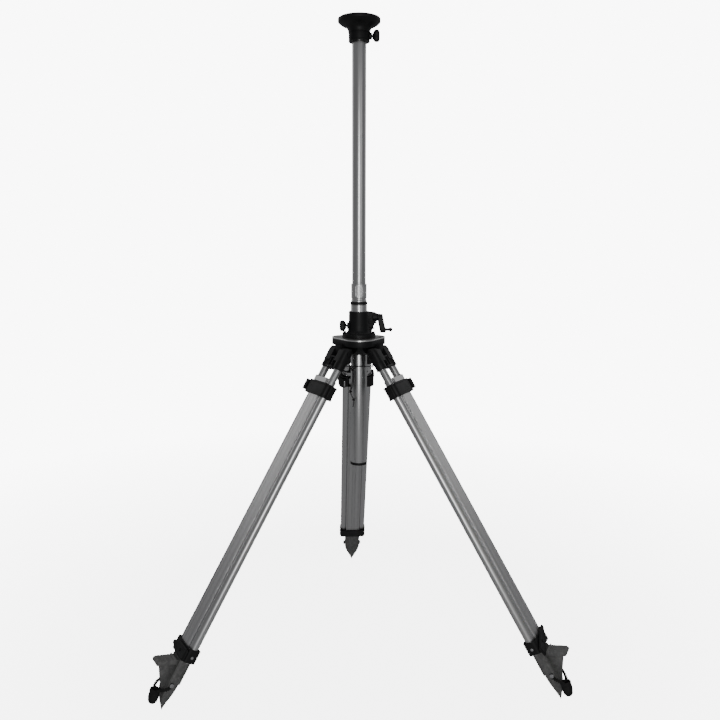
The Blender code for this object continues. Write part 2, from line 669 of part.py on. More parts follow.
def head_cord(parent):
    """Cord strung between the hooks, and the end that hangs from it."""
    span = smooth_path([(-44.5, CORD_Y, CORD_Z), (0.0, CORD_Y, CORD_Z - 0.8), (44.5, CORD_Y, CORD_Z)], 14)
    cord("cord_span", span, parent)
    top = CORD_Z - 1.0 - CORD_R - 0.4
    knot("cord_knot", (KNOT_X, CORD_Y - 0.2, top - 3.4), parent)
    tail = [(KNOT_X, CORD_Y - 0.2, top - 7.3), (KNOT_X - 0.5, CORD_Y - 0.4, top - 40.0),
            (KNOT_X - 4.5, CORD_Y - 0.7, top - 61.0), (KNOT_X - 6.5, CORD_Y - 0.9, top - 75.0),
            (KNOT_X - 2.3, CORD_Y - 1.0, top - 89.0), (KNOT_X + 3.4, CORD_Y - 1.0, top - 101.0),
            (KNOT_X + 3.2, CORD_Y - 0.9, top - 112.0), (KNOT_X + 1.2, CORD_Y - 0.8, top - 123.0)]
    cord("cord_tail", smooth_path(tail, 26), parent)


def build():
    for obj in list(bpy.data.objects):
        bpy.data.objects.remove(obj)
    root = empty("assembly", (COLUMN_X, COLUMN_Y, 0.0))
    mounting_plate(root)
    instrument_stud(root)
    wing_knob("head_thumb_screw", 3.9, 21.7, 38.0, 1.0, root, (0.0, 0.0, 1884.0))
    tube("inner_tube", INNER_R, INNER_R - INNER_WALL, INNER_BOTTOM, INNER_TOP, 36,
         aluminium("inner_tube"), root)
    tube("slide_bush", 22.6, 21.2, 1031.0, 1061.0, 28, black("slide_bush"), root)
    collar_fittings(root)
    tube("outer_tube", TUBE_R, TUBE_R - TUBE_WALL, TUBE_BOTTOM, TUBE_TOP, 36,
         aluminium("outer_tube"), root)
    gear_rack(root)
    bottom_cap(root)
    column_housing(root)
    pinion(root)
    crank(root)
    wing_knob("clamp_knob", 3.6, 26.0, 38.5, -1.0, root, (0.0, 0.0, 1054.0))
    tripod_head(root)
    cord_hook("cord_hook_left", -1.0, root)
    cord_hook("cord_hook_right", 1.0, root)
    head_cord(root)
    for tag, azimuth, side, reach, angle, shift in zip("123", LEG_AZIMUTHS, LEVER_SIDES, CLAMP_REACH,
                                                       LEVER_ANGLES, CAP_SHIFTS):
        frame = leg_frame("leg_hinge_" + tag, azimuth, root)
        leg_head(tag, frame)
        leg_tubes(tag, frame)
        middle_section(tag, frame)
        upper_clamp(tag, side, reach, frame)
        lower_clamp(tag, side, angle, frame)
        foot_section(tag, frame)
        rubber_cap(tag, shift, frame)


build()
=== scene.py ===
"""Elevating tripod: the finished pieces, materials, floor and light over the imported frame."""

import json
import math

import bmesh
import bpy
import numpy as np
from bpy.props import FloatProperty, FloatVectorProperty, IntProperty, PointerProperty
from mathutils import Matrix, Vector
from mathutils.geometry import tessellate_polygon


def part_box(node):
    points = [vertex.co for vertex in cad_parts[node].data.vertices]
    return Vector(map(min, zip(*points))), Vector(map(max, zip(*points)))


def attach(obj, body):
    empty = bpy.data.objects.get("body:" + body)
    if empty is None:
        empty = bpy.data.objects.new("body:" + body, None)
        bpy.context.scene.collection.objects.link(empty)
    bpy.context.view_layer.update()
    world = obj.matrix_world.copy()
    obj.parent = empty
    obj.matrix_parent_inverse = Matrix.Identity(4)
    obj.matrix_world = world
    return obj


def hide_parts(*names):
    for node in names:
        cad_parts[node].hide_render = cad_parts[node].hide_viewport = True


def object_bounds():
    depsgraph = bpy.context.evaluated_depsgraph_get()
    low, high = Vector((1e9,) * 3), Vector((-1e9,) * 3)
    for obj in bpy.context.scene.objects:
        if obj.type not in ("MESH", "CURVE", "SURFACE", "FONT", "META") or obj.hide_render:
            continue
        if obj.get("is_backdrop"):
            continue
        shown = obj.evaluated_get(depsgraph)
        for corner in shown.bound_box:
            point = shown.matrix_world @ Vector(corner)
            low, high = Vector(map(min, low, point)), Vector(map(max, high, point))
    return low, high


bl_info = {
    "name": "Elevating tripod",
    "version": (1, 0, 0),
    "blender": (4, 5, 0),
    "location": "3D View > Sidebar > Tripod",
    "description": "Makes the pieces of an elevating tripod over its packed frame",
    "category": "Object",
}

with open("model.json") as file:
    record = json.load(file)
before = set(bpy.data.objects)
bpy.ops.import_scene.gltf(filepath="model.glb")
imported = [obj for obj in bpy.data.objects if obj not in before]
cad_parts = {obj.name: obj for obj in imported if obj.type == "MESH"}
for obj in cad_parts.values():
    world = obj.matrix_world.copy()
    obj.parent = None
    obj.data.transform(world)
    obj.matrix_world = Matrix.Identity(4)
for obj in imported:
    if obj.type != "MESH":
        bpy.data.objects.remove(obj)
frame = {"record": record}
CAD_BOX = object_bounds()
JOINTS = {joint["name"]: joint for joint in frame["record"]["behaviour"]["joints"]}
MM = 0.001
LEGS = ("1", "2", "3")
TURN = 2.0 * math.pi
SLOT_HALF_ANGLE = math.radians(9.5)    # half of the rack slot, seen from the column axis
SLOT_REACH = 32.0                      # column axis to the floor of the rack slot
THUMB_Z = 1884.0                       # height of the thumb screw's axis
CLAMP_KNOB_Z = 1054.0                  # height of the clamp knob's axis


# ---------------------------------------------------------------- places
class Place:
    """A local frame: millimetres along its three axes become metres in the row frame."""

    def __init__(self, origin, axes=((1, 0, 0), (0, 1, 0), (0, 0, 1))):
        self.origin = np.array(origin, float)
        self.axes = np.array(axes, float)

    def world(self, points):
        return self.origin + np.asarray(points, float) * MM @ self.axes

    def euler(self):
        return tuple(Matrix(self.axes.tolist()).transposed().to_euler())


def column_place():
    x, y, _ = JOINTS["collar_twist"]["pos_m"]
    return Place((x, y, 0.0))


def crank_place():
    x, y, z = JOINTS["crank_turn"]["pos_m"]
    return Place((column_place().origin[0], y, z))


def leg_place(tag):
    """Leg frame on the fold axis: x across the leg, y inwards, z up along the leg."""
    fold, slide = JOINTS["leg_fold_" + tag], JOINTS["middle_slide_" + tag]
    across = np.array(fold["axis"], float)
    upward = -np.array(slide["axis"], float)
    return Place(fold["pos_m"], (across, np.cross(upward, across), upward))


def lever_side(tag):
    """+1 or -1: the side of the leg that the upper lever turns on."""
    upward = -np.array(JOINTS["middle_slide_" + tag]["axis"], float)
    return 1.0 if np.dot(upward, JOINTS["upper_lever_turn_" + tag]["axis"]) > 0 else -1.0


COLUMN = column_place()
CRANK = crank_place()
FOLD_L = 1155.0              # height of the fold axis, measured up along the leg


# ---------------------------------------------------------------- outlines
def rounded(points, radii, steps=5, closed=True):
    """Outline whose corners are parabolic arcs: each starts and ends its radius away from
    the corner, along the two sides that meet there."""
    points = np.array(points, float)
    count = len(points)
    radii = np.broadcast_to(np.array(radii, float), (count,))
    rows = []
    for i, (corner, radius) in enumerate(zip(points, radii)):
        if radius <= 0.0 or (not closed and i in (0, count - 1)):
            rows.append(corner[None])
            continue
        before, after = points[i - 1] - corner, points[(i + 1) % count] - corner
        reach = min(radius, 0.49 * np.linalg.norm(before), 0.49 * np.linalg.norm(after))
        a = corner + before / np.linalg.norm(before) * reach
        b = corner + after / np.linalg.norm(after) * reach
        f = np.linspace(0.0, 1.0, steps)[:, None]
        rows.append((1 - f) ** 2 * a + 2 * f * (1 - f) * corner + f ** 2 * b)
    return np.vstack(rows)


def circle(radius, count, centre=(0.0, 0.0)):
    angle = np.arange(count) * TURN / count
    return np.stack([centre[0] + radius * np.cos(angle), centre[1] + radius * np.sin(angle)], axis=1)


def slab(half_a, half_b, radius, steps=8):
    """Rectangle with rounded corners, anticlockwise."""
    return rounded([(half_a, -half_b), (half_a, half_b), (-half_a, half_b), (-half_a, -half_b)],
                   radius, steps)


def smooth(stations, values, at):
    """Values carried between stations on cubics whose slopes average the neighbours' rise."""
    stations, values, at = (np.asarray(v, float) for v in (stations, values, at))
    slopes = np.gradient(values, stations, axis=0)
    i = np.clip(np.searchsorted(stations, at, side="right") - 1, 0, len(stations) - 2)
    width = stations[i + 1] - stations[i]
    f = (at - stations[i]) / width
    if values.ndim > 1:
        width, f = width[:, None], f[:, None]
    return ((2 * f ** 3 - 3 * f ** 2 + 1) * values[i] + (f ** 3 - 2 * f ** 2 + f) * width * slopes[i]
            + (3 * f ** 2 - 2 * f ** 3) * values[i + 1] + (f ** 3 - f ** 2) * width * slopes[i + 1])


def anticlockwise(outline):
    x, y = outline[:, 0], outline[:, 1]
    area = np.sum(x * np.roll(y, -1) - np.roll(x, -1) * y)
    return outline if area > 0 else outline[::-1]


def inset(outline, distance):
    """Outline moved inwards along the normal of the line between each point's neighbours."""
    tangent = np.roll(outline, -1, axis=0) - np.roll(outline, 1, axis=0)
    normal = np.stack([tangent[:, 1], -tangent[:, 0]], axis=1)
    normal /= np.maximum(np.linalg.norm(normal, axis=1, keepdims=True), 1e-9)
    return outline - normal * distance


# ---------------------------------------------------------------- surfaces
def spun(profile, count, axis="z", flutes=None):
    """Profile of (radius, height) turned about an axis: point = (r cos a, r sin a, h).
    flutes, if given, is a function of the radius, height and angle grids that changes the radius."""
    profile = np.asarray(profile, float)
    angle = np.arange(count) * TURN / count
    radius = np.broadcast_to(profile[:, :1], (len(profile), count))
    height = np.broadcast_to(profile[:, 1:], (len(profile), count))
    if flutes is not None:
        radius = flutes(radius, height, np.broadcast_to(angle, radius.shape))
    a, b = radius * np.cos(angle), radius * np.sin(angle)
    return np.stack([height, a, b] if axis == "x" else [a, b, height], axis=-1)


def pushed(outline, low, high, edge=0.0, axis="z", steps=3):
    """Outline pushed from low to high, its two end edges rounded: at each end the outline is
    inset by edge * (1 - sin f) while the depth moves by edge * (1 - cos f)."""
    outline = anticlockwise(np.asarray(outline, float))
    if edge > 0.0:
        f = np.linspace(0.0, math.pi / 2.0, steps + 1)
        depths = np.concatenate([low + edge * (1 - np.cos(f)), (high - edge * (1 - np.cos(f)))[::-1]])
        insets = np.concatenate([edge * (1 - np.sin(f)), (edge * (1 - np.sin(f)))[::-1]])
    else:
        depths, insets = np.array([low, high]), np.zeros(2)
    rows = [placed(inset(outline, d), depth, axis) for d, depth in zip(insets, depths)]
    return np.stack(rows)


def placed(outline, depth, axis):
    """Outline points with a depth along x, y or z."""
    a, b = outline[:, 0], outline[:, 1]
    c = np.broadcast_to(np.asarray(depth, float), a.shape)
    order = {"x": (c, a, b), "y": (a, c, b), "z": (a, b, c)}[axis]
    return np.stack(order, axis=-1)


def along_path(path, outline, up=(0.0, 0.0, 1.0)):
    """Outline carried along a path: point = path + a * side + b * lift, where side and lift
    stand square to the path. outline is one (n, 2) outline, or one for each path point."""
    path = np.asarray(path, float)
    ahead = np.gradient(path, axis=0)
    ahead /= np.linalg.norm(ahead, axis=1, keepdims=True)
    side = np.cross(ahead, np.broadcast_to(np.array(up, float), path.shape))
    side /= np.linalg.norm(side, axis=1, keepdims=True)
    lift = np.cross(side, ahead)
    outline = np.asarray(outline, float)
    if outline.ndim == 2:
        outline = np.broadcast_to(outline, (len(path), *outline.shape))
    return (path[:, None] + outline[..., :1] * side[:, None] + outline[..., 1:] * lift[:, None])


class Solid:
    """Shells gathered into one piece, in local millimetres."""

    def __init__(self):
        self.points = []
        self.faces = []
        self.count = 0

    def shell(self, grid, loop_rows=False, ends=True):
        """Quads over a grid of rows; columns close on themselves. Rows close too with loop_rows,
        or else one face shuts each end."""
        grid = np.asarray(grid, float)
        rows, columns = grid.shape[:2]
        index = np.arange(rows * columns).reshape(rows, columns) + self.count
        low = index if loop_rows else index[:-1]
        high = np.roll(index, -1, axis=0) if loop_rows else index[1:]
        quads = np.stack([low, np.roll(low, -1, axis=1), np.roll(high, -1, axis=1), high], axis=-1)
        self.faces += quads.reshape(-1, 4).tolist()
        if ends and not loop_rows:
            self.faces += [index[0, ::-1].tolist(), index[-1].tolist()]
        self.points.append(grid.reshape(-1, 3))
        self.count += rows * columns
        return self

    def drilled(self, outer, holes, low, high, axis="z"):
        """Outline with holes through it, pushed from low to high; the ends are triangulated."""
        loops = [anticlockwise(np.asarray(outer, float))] + [np.asarray(hole, float) for hole in holes]
        for loop in loops:
            grid = np.stack([placed(loop, low, axis), placed(loop, high, axis)])
            self.shell(grid, ends=False)
        flat = [[Vector((a, b, 0.0)) for a, b in loop] for loop in loops]
        triangles = np.array(tessellate_polygon(flat))
        joined = np.vstack(loops)
        for depth in (low, high):
            self.points.append(placed(joined, depth, axis))
            self.faces += (triangles + self.count).tolist()
            self.count += len(joined)
        return self

    def piece(self, name, material, body, nodes=(), place=None, sharp=38.0, bevel=0.0):
        """The finished object: merged, facing outwards, riding on its body."""
        place = place or COLUMN
        mesh = bpy.data.meshes.new(name)
        mesh.from_pydata(place.world(np.vstack(self.points)).tolist(), [], self.faces)
        bm = bmesh.new()
        bm.from_mesh(mesh)
        bmesh.ops.remove_doubles(bm, verts=bm.verts, dist=4e-6)
        bmesh.ops.dissolve_degenerate(bm, edges=bm.edges, dist=1e-6)
        bmesh.ops.recalc_face_normals(bm, faces=bm.faces)
        bm.to_mesh(mesh)
        bm.free()
        mesh.polygons.foreach_set("use_smooth", np.ones(len(mesh.polygons), bool))
        mesh.set_sharp_from_angle(angle=math.radians(sharp))
        mesh.materials.append(material)
        obj = bpy.data.objects.new(name, mesh)
        bpy.context.scene.collection.objects.link(obj)
        if bevel > 0.0:
            modifier = obj.modifiers.new("soft_edges", "BEVEL")
            modifier.width = bevel * MM
            modifier.segments = 2
            modifier.limit_method = "ANGLE"
            modifier.angle_limit = math.radians(50.0)
            modifier.harden_normals = True
        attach(obj, body)
        if nodes:
            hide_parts(*nodes)
        return obj


# ---------------------------------------------------------------- shader writing
class Wire:
    """A socket that can stand in arithmetic; each operation adds a Math node."""

    def __init__(self, finish, socket):
        self.finish = finish
        self.socket = socket

    def math(self, operation, first, second):
        return self.finish.node("ShaderNodeMath", {"operation": operation}, {0: first, 1: second})

    def __add__(self, other):
        return self.math("ADD", self, other)

    def __sub__(self, other):
        return self.math("SUBTRACT", self, other)

    def __mul__(self, other):
        return self.math("MULTIPLY", self, other)

    def __rsub__(self, other):
        return self.math("SUBTRACT", other, self)

    __radd__ = __add__
    __rmul__ = __mul__


class Finish:
    """A material under construction."""

    def __init__(self, name):
        self.material = bpy.data.materials.new(name)
        self.material.use_nodes = True
        self.tree = self.material.node_tree
        self.shader = self.tree.nodes["Principled BSDF"]

    def node(self, kind, settings=None, inputs=None, output=0):
        """Any node: its settings first, then the values or links of its sockets."""
        made = self.tree.nodes.new(kind)
        for key, value in (settings or {}).items():
            if key == "stops":
                ramp = made.color_ramp
                while len(ramp.elements) > len(value):
                    ramp.elements.remove(ramp.elements[-1])
                while len(ramp.elements) < len(value):
                    ramp.elements.new(1.0)
                for element, (position, colour) in zip(ramp.elements, value):
                    element.position = position
                    element.color = (*colour, 1.0)
            else:
                setattr(made, key, value)
        for key, value in (inputs or {}).items():
            self.feed(made.inputs[key], value)
        return Wire(self, made.outputs[output])

    def feed(self, socket, value):
        if isinstance(value, Wire):
            self.tree.links.new(value.socket, socket)
        else:
            socket.default_value = value

    def set(self, **values):
        """Values or links on the shader, such as base_color or roughness."""
        for key, value in values.items():
            if key == "base_color" and not isinstance(value, Wire):
                value = (*value, 1.0)
            self.feed(self.shader.inputs[key.replace("_", " ").title().replace("Ior", "IOR")], value)

    def place(self, turn=(0.0, 0.0, 0.0), stretch=(1.0, 1.0, 1.0), centre=(0.0, 0.0, 0.0)):
        """Object coordinates in metres, moved to a centre, turned, and stretched along each axis."""
        coordinates = self.node("ShaderNodeTexCoord", output="Object")
        return self.node("ShaderNodeMapping", {"vector_type": "TEXTURE"},
                         {"Vector": coordinates, "Location": centre, "Rotation": turn, "Scale": stretch})

    def noise(self, where, scale, detail=3.0, roughness=0.55, distortion=0.0):
        return self.node("ShaderNodeTexNoise", {"noise_dimensions": "3D"},
                         {"Vector": where, "Scale": scale, "Detail": detail, "Roughness": roughness,
                          "Distortion": distortion})

    def cells(self, where, scale):
        return self.node("ShaderNodeTexVoronoi", {}, {"Vector": where, "Scale": scale})

    def ramp(self, value, *stops):
        """Number through soft stops of (position, grey)."""
        return self.node("ShaderNodeValToRGB", {"stops": [(p, (g, g, g)) for p, g in stops]}, {0: value})

    def blend(self, mask, first, second):
        """Two colours mixed by a mask."""
        first = first if isinstance(first, Wire) else (*first, 1.0)
        second = second if isinstance(second, Wire) else (*second, 1.0)
        return self.node("ShaderNodeMix", {"data_type": "RGBA"}, {0: mask, 6: first, 7: second}, output=2)

    def bump(self, height, distance, strength=1.0):
        """Height in units of distance, in millimetres, into the shader's normal."""
        made = self.node("ShaderNodeBump", {}, {"Height": height, "Distance": distance * MM,
                                                "Strength": strength})
        self.set(normal=made)


FINISHES = {}


def finish(kind, key, place=None):
    """The material of one kind for pieces in one frame, made once."""
    turn = place.euler() if place else (0.0, 0.0, 0.0)
    name = kind.__name__ + "_" + key
    if name not in FINISHES:
        made = Finish(name)
        kind(made, turn, bpy.context.scene.tripod_colours)
        FINISHES[name] = made.material
    return FINISHES[name]


def leg_finish(kind, tag):
    """The material of one kind for the pieces of one leg."""
    return finish(kind, "leg_" + tag, leg_place(tag))


def satin_tube(f, turn, colours):
    """Satin anodised aluminium: faint drawn streaks, handling marks and smudges."""
    drawn = f.noise(f.place(turn, (0.02, 0.02, 2.5)), 14.0, 4.0, 0.6)
    smudge = f.noise(f.place(turn, (0.06, 0.06, 0.22)), 2.2, 4.0, 0.6, 0.4)
    scuff = f.ramp(f.noise(f.place(turn, (0.05, 0.05, 0.012)), 5.0, 5.0, 0.7), (0.66, 0.0), (0.74, 1.0))
    base = Vector(colours.satin)
    colour = f.blend(f.ramp(drawn, (0.3, 0.0), (0.7, 1.0)), base * 0.96, base * 1.03)
    f.set(base_color=f.blend(scuff * 0.2, colour, base * 0.8), metallic=1.0,
          roughness=0.24 + drawn * 0.03 + smudge * 0.07 + scuff * 0.06)
    f.bump(drawn, 0.0015)


def extruded(f, turn, colours):
    """Anodised extrusion: matter than the tubes, with die lines along it."""
    lines = f.noise(f.place(turn, (0.006, 0.006, 4.0)), 9.0, 4.0, 0.65)
    drawn = f.noise(f.place(turn, (0.03, 0.03, 3.0)), 10.0, 3.0, 0.6)
    cloud = f.noise(f.place(turn, (0.08, 0.08, 0.3)), 2.0, 4.0, 0.6, 0.3)
    scuff = f.ramp(f.noise(f.place(turn, (0.03, 0.03, 0.02)), 6.0, 6.0, 0.7), (0.66, 0.0), (0.74, 1.0))
    base = Vector(colours.extruded)
    colour = f.blend(f.ramp(drawn, (0.3, 0.0), (0.7, 1.0)), base * 0.95, base * 1.04)
    f.set(base_color=f.blend(scuff * 0.2, colour, base * 0.8), metallic=1.0,
          roughness=0.28 + lines * 0.04 + cloud * 0.08 + scuff * 0.06)
    f.bump(lines + drawn, 0.002)


def black_coat(f, turn, colours):
    """Satin black powder coat on a casting: fine orange peel, dust, dull patches."""
    peel = f.noise(f.place(turn), 900.0, 3.0, 0.55)
    sand = f.noise(f.place(turn), 160.0, 4.0, 0.6)
    dust = f.ramp(f.noise(f.place(turn), 34.0, 6.0, 0.65), (0.5, 0.0), (0.85, 1.0))
    base = Vector(colours.coat)
    f.set(base_color=f.blend(dust * 0.5, base, base * 1.9), roughness=0.4 + sand * 0.14 + dust * 0.1,
          specular_ior_level=0.24)
    f.bump(peel + sand * 0.8, 0.05, 0.6)


def moulded_black(f, turn, colours):
    """Black moulded plastic: spark-eroded grain, slightly greyer where handled."""
    grain = f.cells(f.place(turn), 1300.0)
    coarse = f.noise(f.place(turn), 420.0, 3.0, 0.6)
    worn = f.ramp(f.noise(f.place(turn), 26.0, 5.0, 0.6), (0.45, 0.0), (0.8, 1.0))
    base = Vector(colours.moulded)
    f.set(base_color=f.blend(worn * 0.6, base, base * 1.7), roughness=0.44 + coarse * 0.12 - worn * 0.06,
          specular_ior_level=0.26)
    f.bump(grain + coarse, 0.035, 0.6)


def casting(f, turn, colours):
    """Bare die casting: mottled grey skin, flow marks, small pits."""
    skin = f.noise(f.place(turn), 110.0, 5.0, 0.62, 0.6)
    flow = f.noise(f.place(turn, (1.0, 1.0, 2.6)), 40.0, 4.0, 0.6, 1.2)
    pits = f.ramp(f.cells(f.place(turn), 420.0), (0.0, 0.0), (0.16, 1.0))
    base = Vector(colours.casting)
    colour = f.blend(f.ramp(flow, (0.3, 0.0), (0.72, 1.0)), base * 0.72, base * 1.25)
    f.set(base_color=f.blend(f.ramp(skin, (0.45, 0.0), (0.7, 1.0)), colour, base * 1.5),
          metallic=0.35, roughness=0.62 - skin * 0.16 + flow * 0.08)
    f.bump(skin + flow + pits * 0.5, 0.12, 0.6)


def bare_face(f, turn, colours):
    """Machined aluminium face: fine turned marks and a soft cloud of oxide."""
    cloud = f.noise(f.place(turn), 60.0, 5.0, 0.6)
    marks = f.noise(f.place(turn, (0.002, 0.05, 0.05)), 6.0, 3.0, 0.6)
    base = Vector(colours.bare)
    f.set(base_color=f.blend(f.ramp(cloud, (0.35, 0.0), (0.7, 1.0)), base * 0.88, base * 1.08),
          metallic=1.0, roughness=0.27 + cloud * 0.08 + marks * 0.04)
    f.bump(marks + cloud, 0.008)


def bright_steel(f, turn, colours):
    """Zinc-plated steel: soft brush marks and a few dull spots."""
    brush = f.noise(f.place(turn, (0.01, 0.01, 0.1)), 12.0, 3.0, 0.6)
    spots = f.ramp(f.noise(f.place(turn), 210.0, 4.0, 0.6), (0.55, 0.0), (0.75, 1.0))
    base = Vector(colours.steel)
    f.set(base_color=f.blend(spots, base, base * 0.75), metallic=1.0,
          roughness=0.22 + brush * 0.1 + spots * 0.14)
    f.bump(brush, 0.005)


def rubber(f, turn, colours):
    """Black rubber: matt, faintly bloomed, with a coarse moulded skin."""
    skin = f.noise(f.place(turn), 520.0, 4.0, 0.6)
    bloom = f.ramp(f.noise(f.place(turn), 55.0, 5.0, 0.6), (0.42, 0.0), (0.8, 1.0))
    base = Vector(colours.rubber)
    f.set(base_color=f.blend(bloom * 0.7, base, base * 2.2), roughness=0.62 + skin * 0.2,
          specular_ior_level=0.3)
    f.bump(skin, 0.06, 0.7)


def braided(f, turn, colours):
    """Black cord: fuzzy dark threads."""
    thread = f.noise(f.place(turn), 2600.0, 3.0, 0.6)
    tone = f.noise(f.place(turn), 240.0, 3.0, 0.6)
    base = Vector(colours.cord)
    f.set(base_color=f.blend(f.ramp(thread, (0.35, 0.0), (0.7, 1.0)), base * 0.6, base * 1.8),
          roughness=0.74 + tone * 0.2, specular_ior_level=0.25)
    f.bump(thread, 0.06, 0.8)


# ---------------------------------------------------------------- settings
def length(name, description, default):
    return FloatProperty(name=name, description=description, default=default, min=0.0,
                         unit="LENGTH", subtype="DISTANCE", precision=4)


def power(name, description, default):
    return FloatProperty(name=name, description=description, default=default, min=0.0, unit="POWER")


def colour(name, description, default):
    return FloatVectorProperty(name=name, description=description, default=default, size=3,
                               min=0.0, max=1.0, subtype="COLOR")


def half_width(node):
    """Half the width of an upright node, across x."""
    low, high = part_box(node)
    return 0.5 * (high[0] - low[0])


class TripodColours(bpy.types.PropertyGroup):
    """Base colours of the materials."""
    satin: colour("Satin tube", "Anodised round tubes", (0.56, 0.56, 0.56))
    extruded: colour("Extrusion", "Anodised leg sections", (0.55, 0.55, 0.55))
    coat: colour("Black coat", "Coated castings", (0.006, 0.006, 0.0065))
    moulded: colour("Black plastic", "Clamps, levers and knobs", (0.008, 0.008, 0.0085))
    casting: colour("Bare casting", "Foot castings", (0.13, 0.13, 0.127))
    bare: colour("Machined face", "Top face of the head", (0.62, 0.62, 0.61))
    steel: colour("Steel", "Screws, pins and hooks", (0.52, 0.52, 0.53))
    rubber: colour("Rubber", "Caps of the spikes", (0.008, 0.008, 0.008))
    cord: colour("Cord", "Cord under the head", (0.012, 0.012, 0.012))
    floor: colour("Floor", "Floor under the tripod", (0.93, 0.93, 0.93))


class TripodColumn(bpy.types.PropertyGroup):
    """Sizes of the column, the plate and the head."""
    plate_radius: length("Plate radius", "Mounting plate", half_width("mounting_plate"))
    neck_radius: length("Neck radius", "Neck under the mounting plate", 0.0305)
    stud_radius: length("Stud radius", "Instrument thread", 0.00794)
    stud_pitch: length("Stud pitch", "Instrument thread", 0.002309)
    inner_radius: length("Inner tube radius", "Tube that carries the plate", half_width("inner_tube"))
    outer_radius: length("Outer tube radius", "Tube driven by the crank", half_width("outer_tube"))
    wall: length("Tube wall", "Wall of both column tubes", 0.002)
    nut_radius: length("Nut radius", "Ribbed collar nut", half_width("collar_nut"))
    flange_radius: length("Flange radius", "Foot of the column housing", 0.051)
    flat_radius: length("Flat distance", "Column axis to the three flats of the head", 0.067)
    flat_half: length("Flat half width", "Half the width of each flat", 0.042)
    side_radius: length("Bulge radius", "Column axis to the middle of each bulged side", 0.088)
    knob_radius: length("Knob radius", "Lobed knobs, to the tip of a lobe", 0.0182)


class TripodLeg(bpy.types.PropertyGroup):
    """Sizes shared by the three legs."""
    tube_spacing: length("Tube spacing", "Leg axis to the axis of each top tube", 0.0345)
    tube_radius: length("Tube radius", "Top tubes of the legs", 0.01165)
    lobe_radius: length("Lobe radius", "Round sides of the middle section", 0.013)
    panel_half: length("Panel half width", "Flat part of the middle section", 0.026)
    panel_depth: length("Panel depth", "Leg axis to the flat of the middle section", 0.0165)
    channel_half: length("Channel half width", "Hollow of the middle section, across", 0.0212)
    channel_depth: length("Channel half depth", "Hollow of the middle section, through", 0.0148)
    band_half: length("Clamp half width", "Upper clamp, across", 0.056)
    band_depth: length("Clamp half depth", "Upper clamp, through", 0.0215)


class TripodStage(bpy.types.PropertyGroup):
    """Camera, floor and lights."""
    focal_length: FloatProperty(name="Focal length", description="Camera lens, millimetres",
                                default=36.2965, unit="CAMERA")
    camera_distance: length("Camera distance", "Level distance from the column", 2.2156)
    camera_height: length("Camera height", "Height over the floor", 1.2866)
    camera_turn: FloatProperty(name="Camera turn", description="Turn about the column",
                               default=0.0448714, unit="ROTATION", subtype="ANGLE")
    camera_pitch: FloatProperty(name="Camera pitch", description="Tilt below level",
                                default=0.177575, unit="ROTATION", subtype="ANGLE")
    camera_shift: FloatProperty(name="Camera shift", description="Upright lens shift", default=0.02585)
    floor_radius: length("Floor radius", "Where the floor has faded out", 3.0)
    floor_rings: IntProperty(name="Floor rings", description="Rings of faces in the floor", default=24)
    strip_power: power("Strip light", "Narrow upright light beside the camera", 24.0)
    left_power: power("Left light", "Large soft light behind on the left", 7.5)
    right_power: power("Right light", "Large soft light behind on the right", 7.5)
    front_power: power("Front light", "Fill beside the camera, on the right", 4.0)
    top_power: power("Top light", "Soft light overhead", 12.0)


def mm(value):
    return value / MM


# ---------------------------------------------------------------- shared shapes
def lobed(scale, count, radius):
    """Three-lobed loop: r = scale * radius * (0.86 + 0.14 cos 3a)."""
    angle = np.arange(count) * TURN / count
    reach = scale * radius * (0.86 + 0.14 * np.cos(3.0 * angle))
    return np.stack([reach * np.cos(angle), reach * np.sin(angle)], axis=1)


def knob_solid(radius, start, direction, height):
    """Knob about the x axis: lobed loops whose scale follows the depth, dished at the far end."""
    depth = np.array([0.0, 0.0, 1.5, 3.4, 6.0, 9.0, 12.0, 14.5, 17.0, 18.8, 19.9, 20.5, 20.3, 19.2])
    scale = np.array([0.3, 0.42, 0.5, 0.74, 0.91, 0.99, 1.0, 0.985, 0.93, 0.84, 0.7, 0.55, 0.46, 0.4])
    rows = [placed(lobed(s, 96, radius), direction * (start + d), "x") for s, d in zip(scale, depth)]
    return Solid().shell(np.stack(rows) + (0.0, 0.0, height))


def rod(radius, start, end, axis="x", centre=(0.0, 0.0, 0.0), chamfer=0.5, count=32):
    """Round bar with chamfered ends."""
    low, high = sorted((start, end))
    profile = [(radius - chamfer, low), (radius, low + chamfer), (radius, high - chamfer),
               (radius - chamfer, high)]
    return spun(profile, count, axis) + np.array(centre)


def threaded(radius, depth, pitch, low, high, count=40):
    """Threaded bar: r = radius - depth * t, with t a triangle wave of (h / pitch - a / turn)."""
    heights = np.arange(low, high, pitch / 10.0)
    taper = np.clip((high - heights) / 1.6, 0.0, 1.0) * 1.2

    def thread(base, height, angle):
        phase = (height / pitch - angle / TURN) % 1.0
        return base - depth * np.abs(2.0 * phase - 1.0)
    profile = np.stack([radius - 1.2 + taper, heights], axis=1)
    return spun(profile, count, "z", thread)


def head_loop(flat, half, side, height):
    """Three flats at a distance from the axis, joined by sides that bulge as
    r = r0 + (side - r0) sin(pi f) between the corners."""
    corner_r = math.hypot(flat, half)
    corner_a = math.atan2(half, flat)
    rows = []
    for base in (-30.0, 90.0, 210.0):
        middle = math.radians(base)
        f = np.linspace(0.0, 1.0, 6)[1:-1]
        along = -half + 2.0 * half * f
        rows += [(math.hypot(flat, a), middle + math.atan2(a, flat)) for a in along]
        f = np.linspace(0.0, 1.0, 25)
        angle = middle + corner_a + f * (TURN / 3.0 - 2.0 * corner_a)
        rows += list(zip(corner_r + (side - corner_r) * np.sin(math.pi * f), angle))
    return np.array([(r * math.cos(a), r * math.sin(a), height) for r, a in rows])


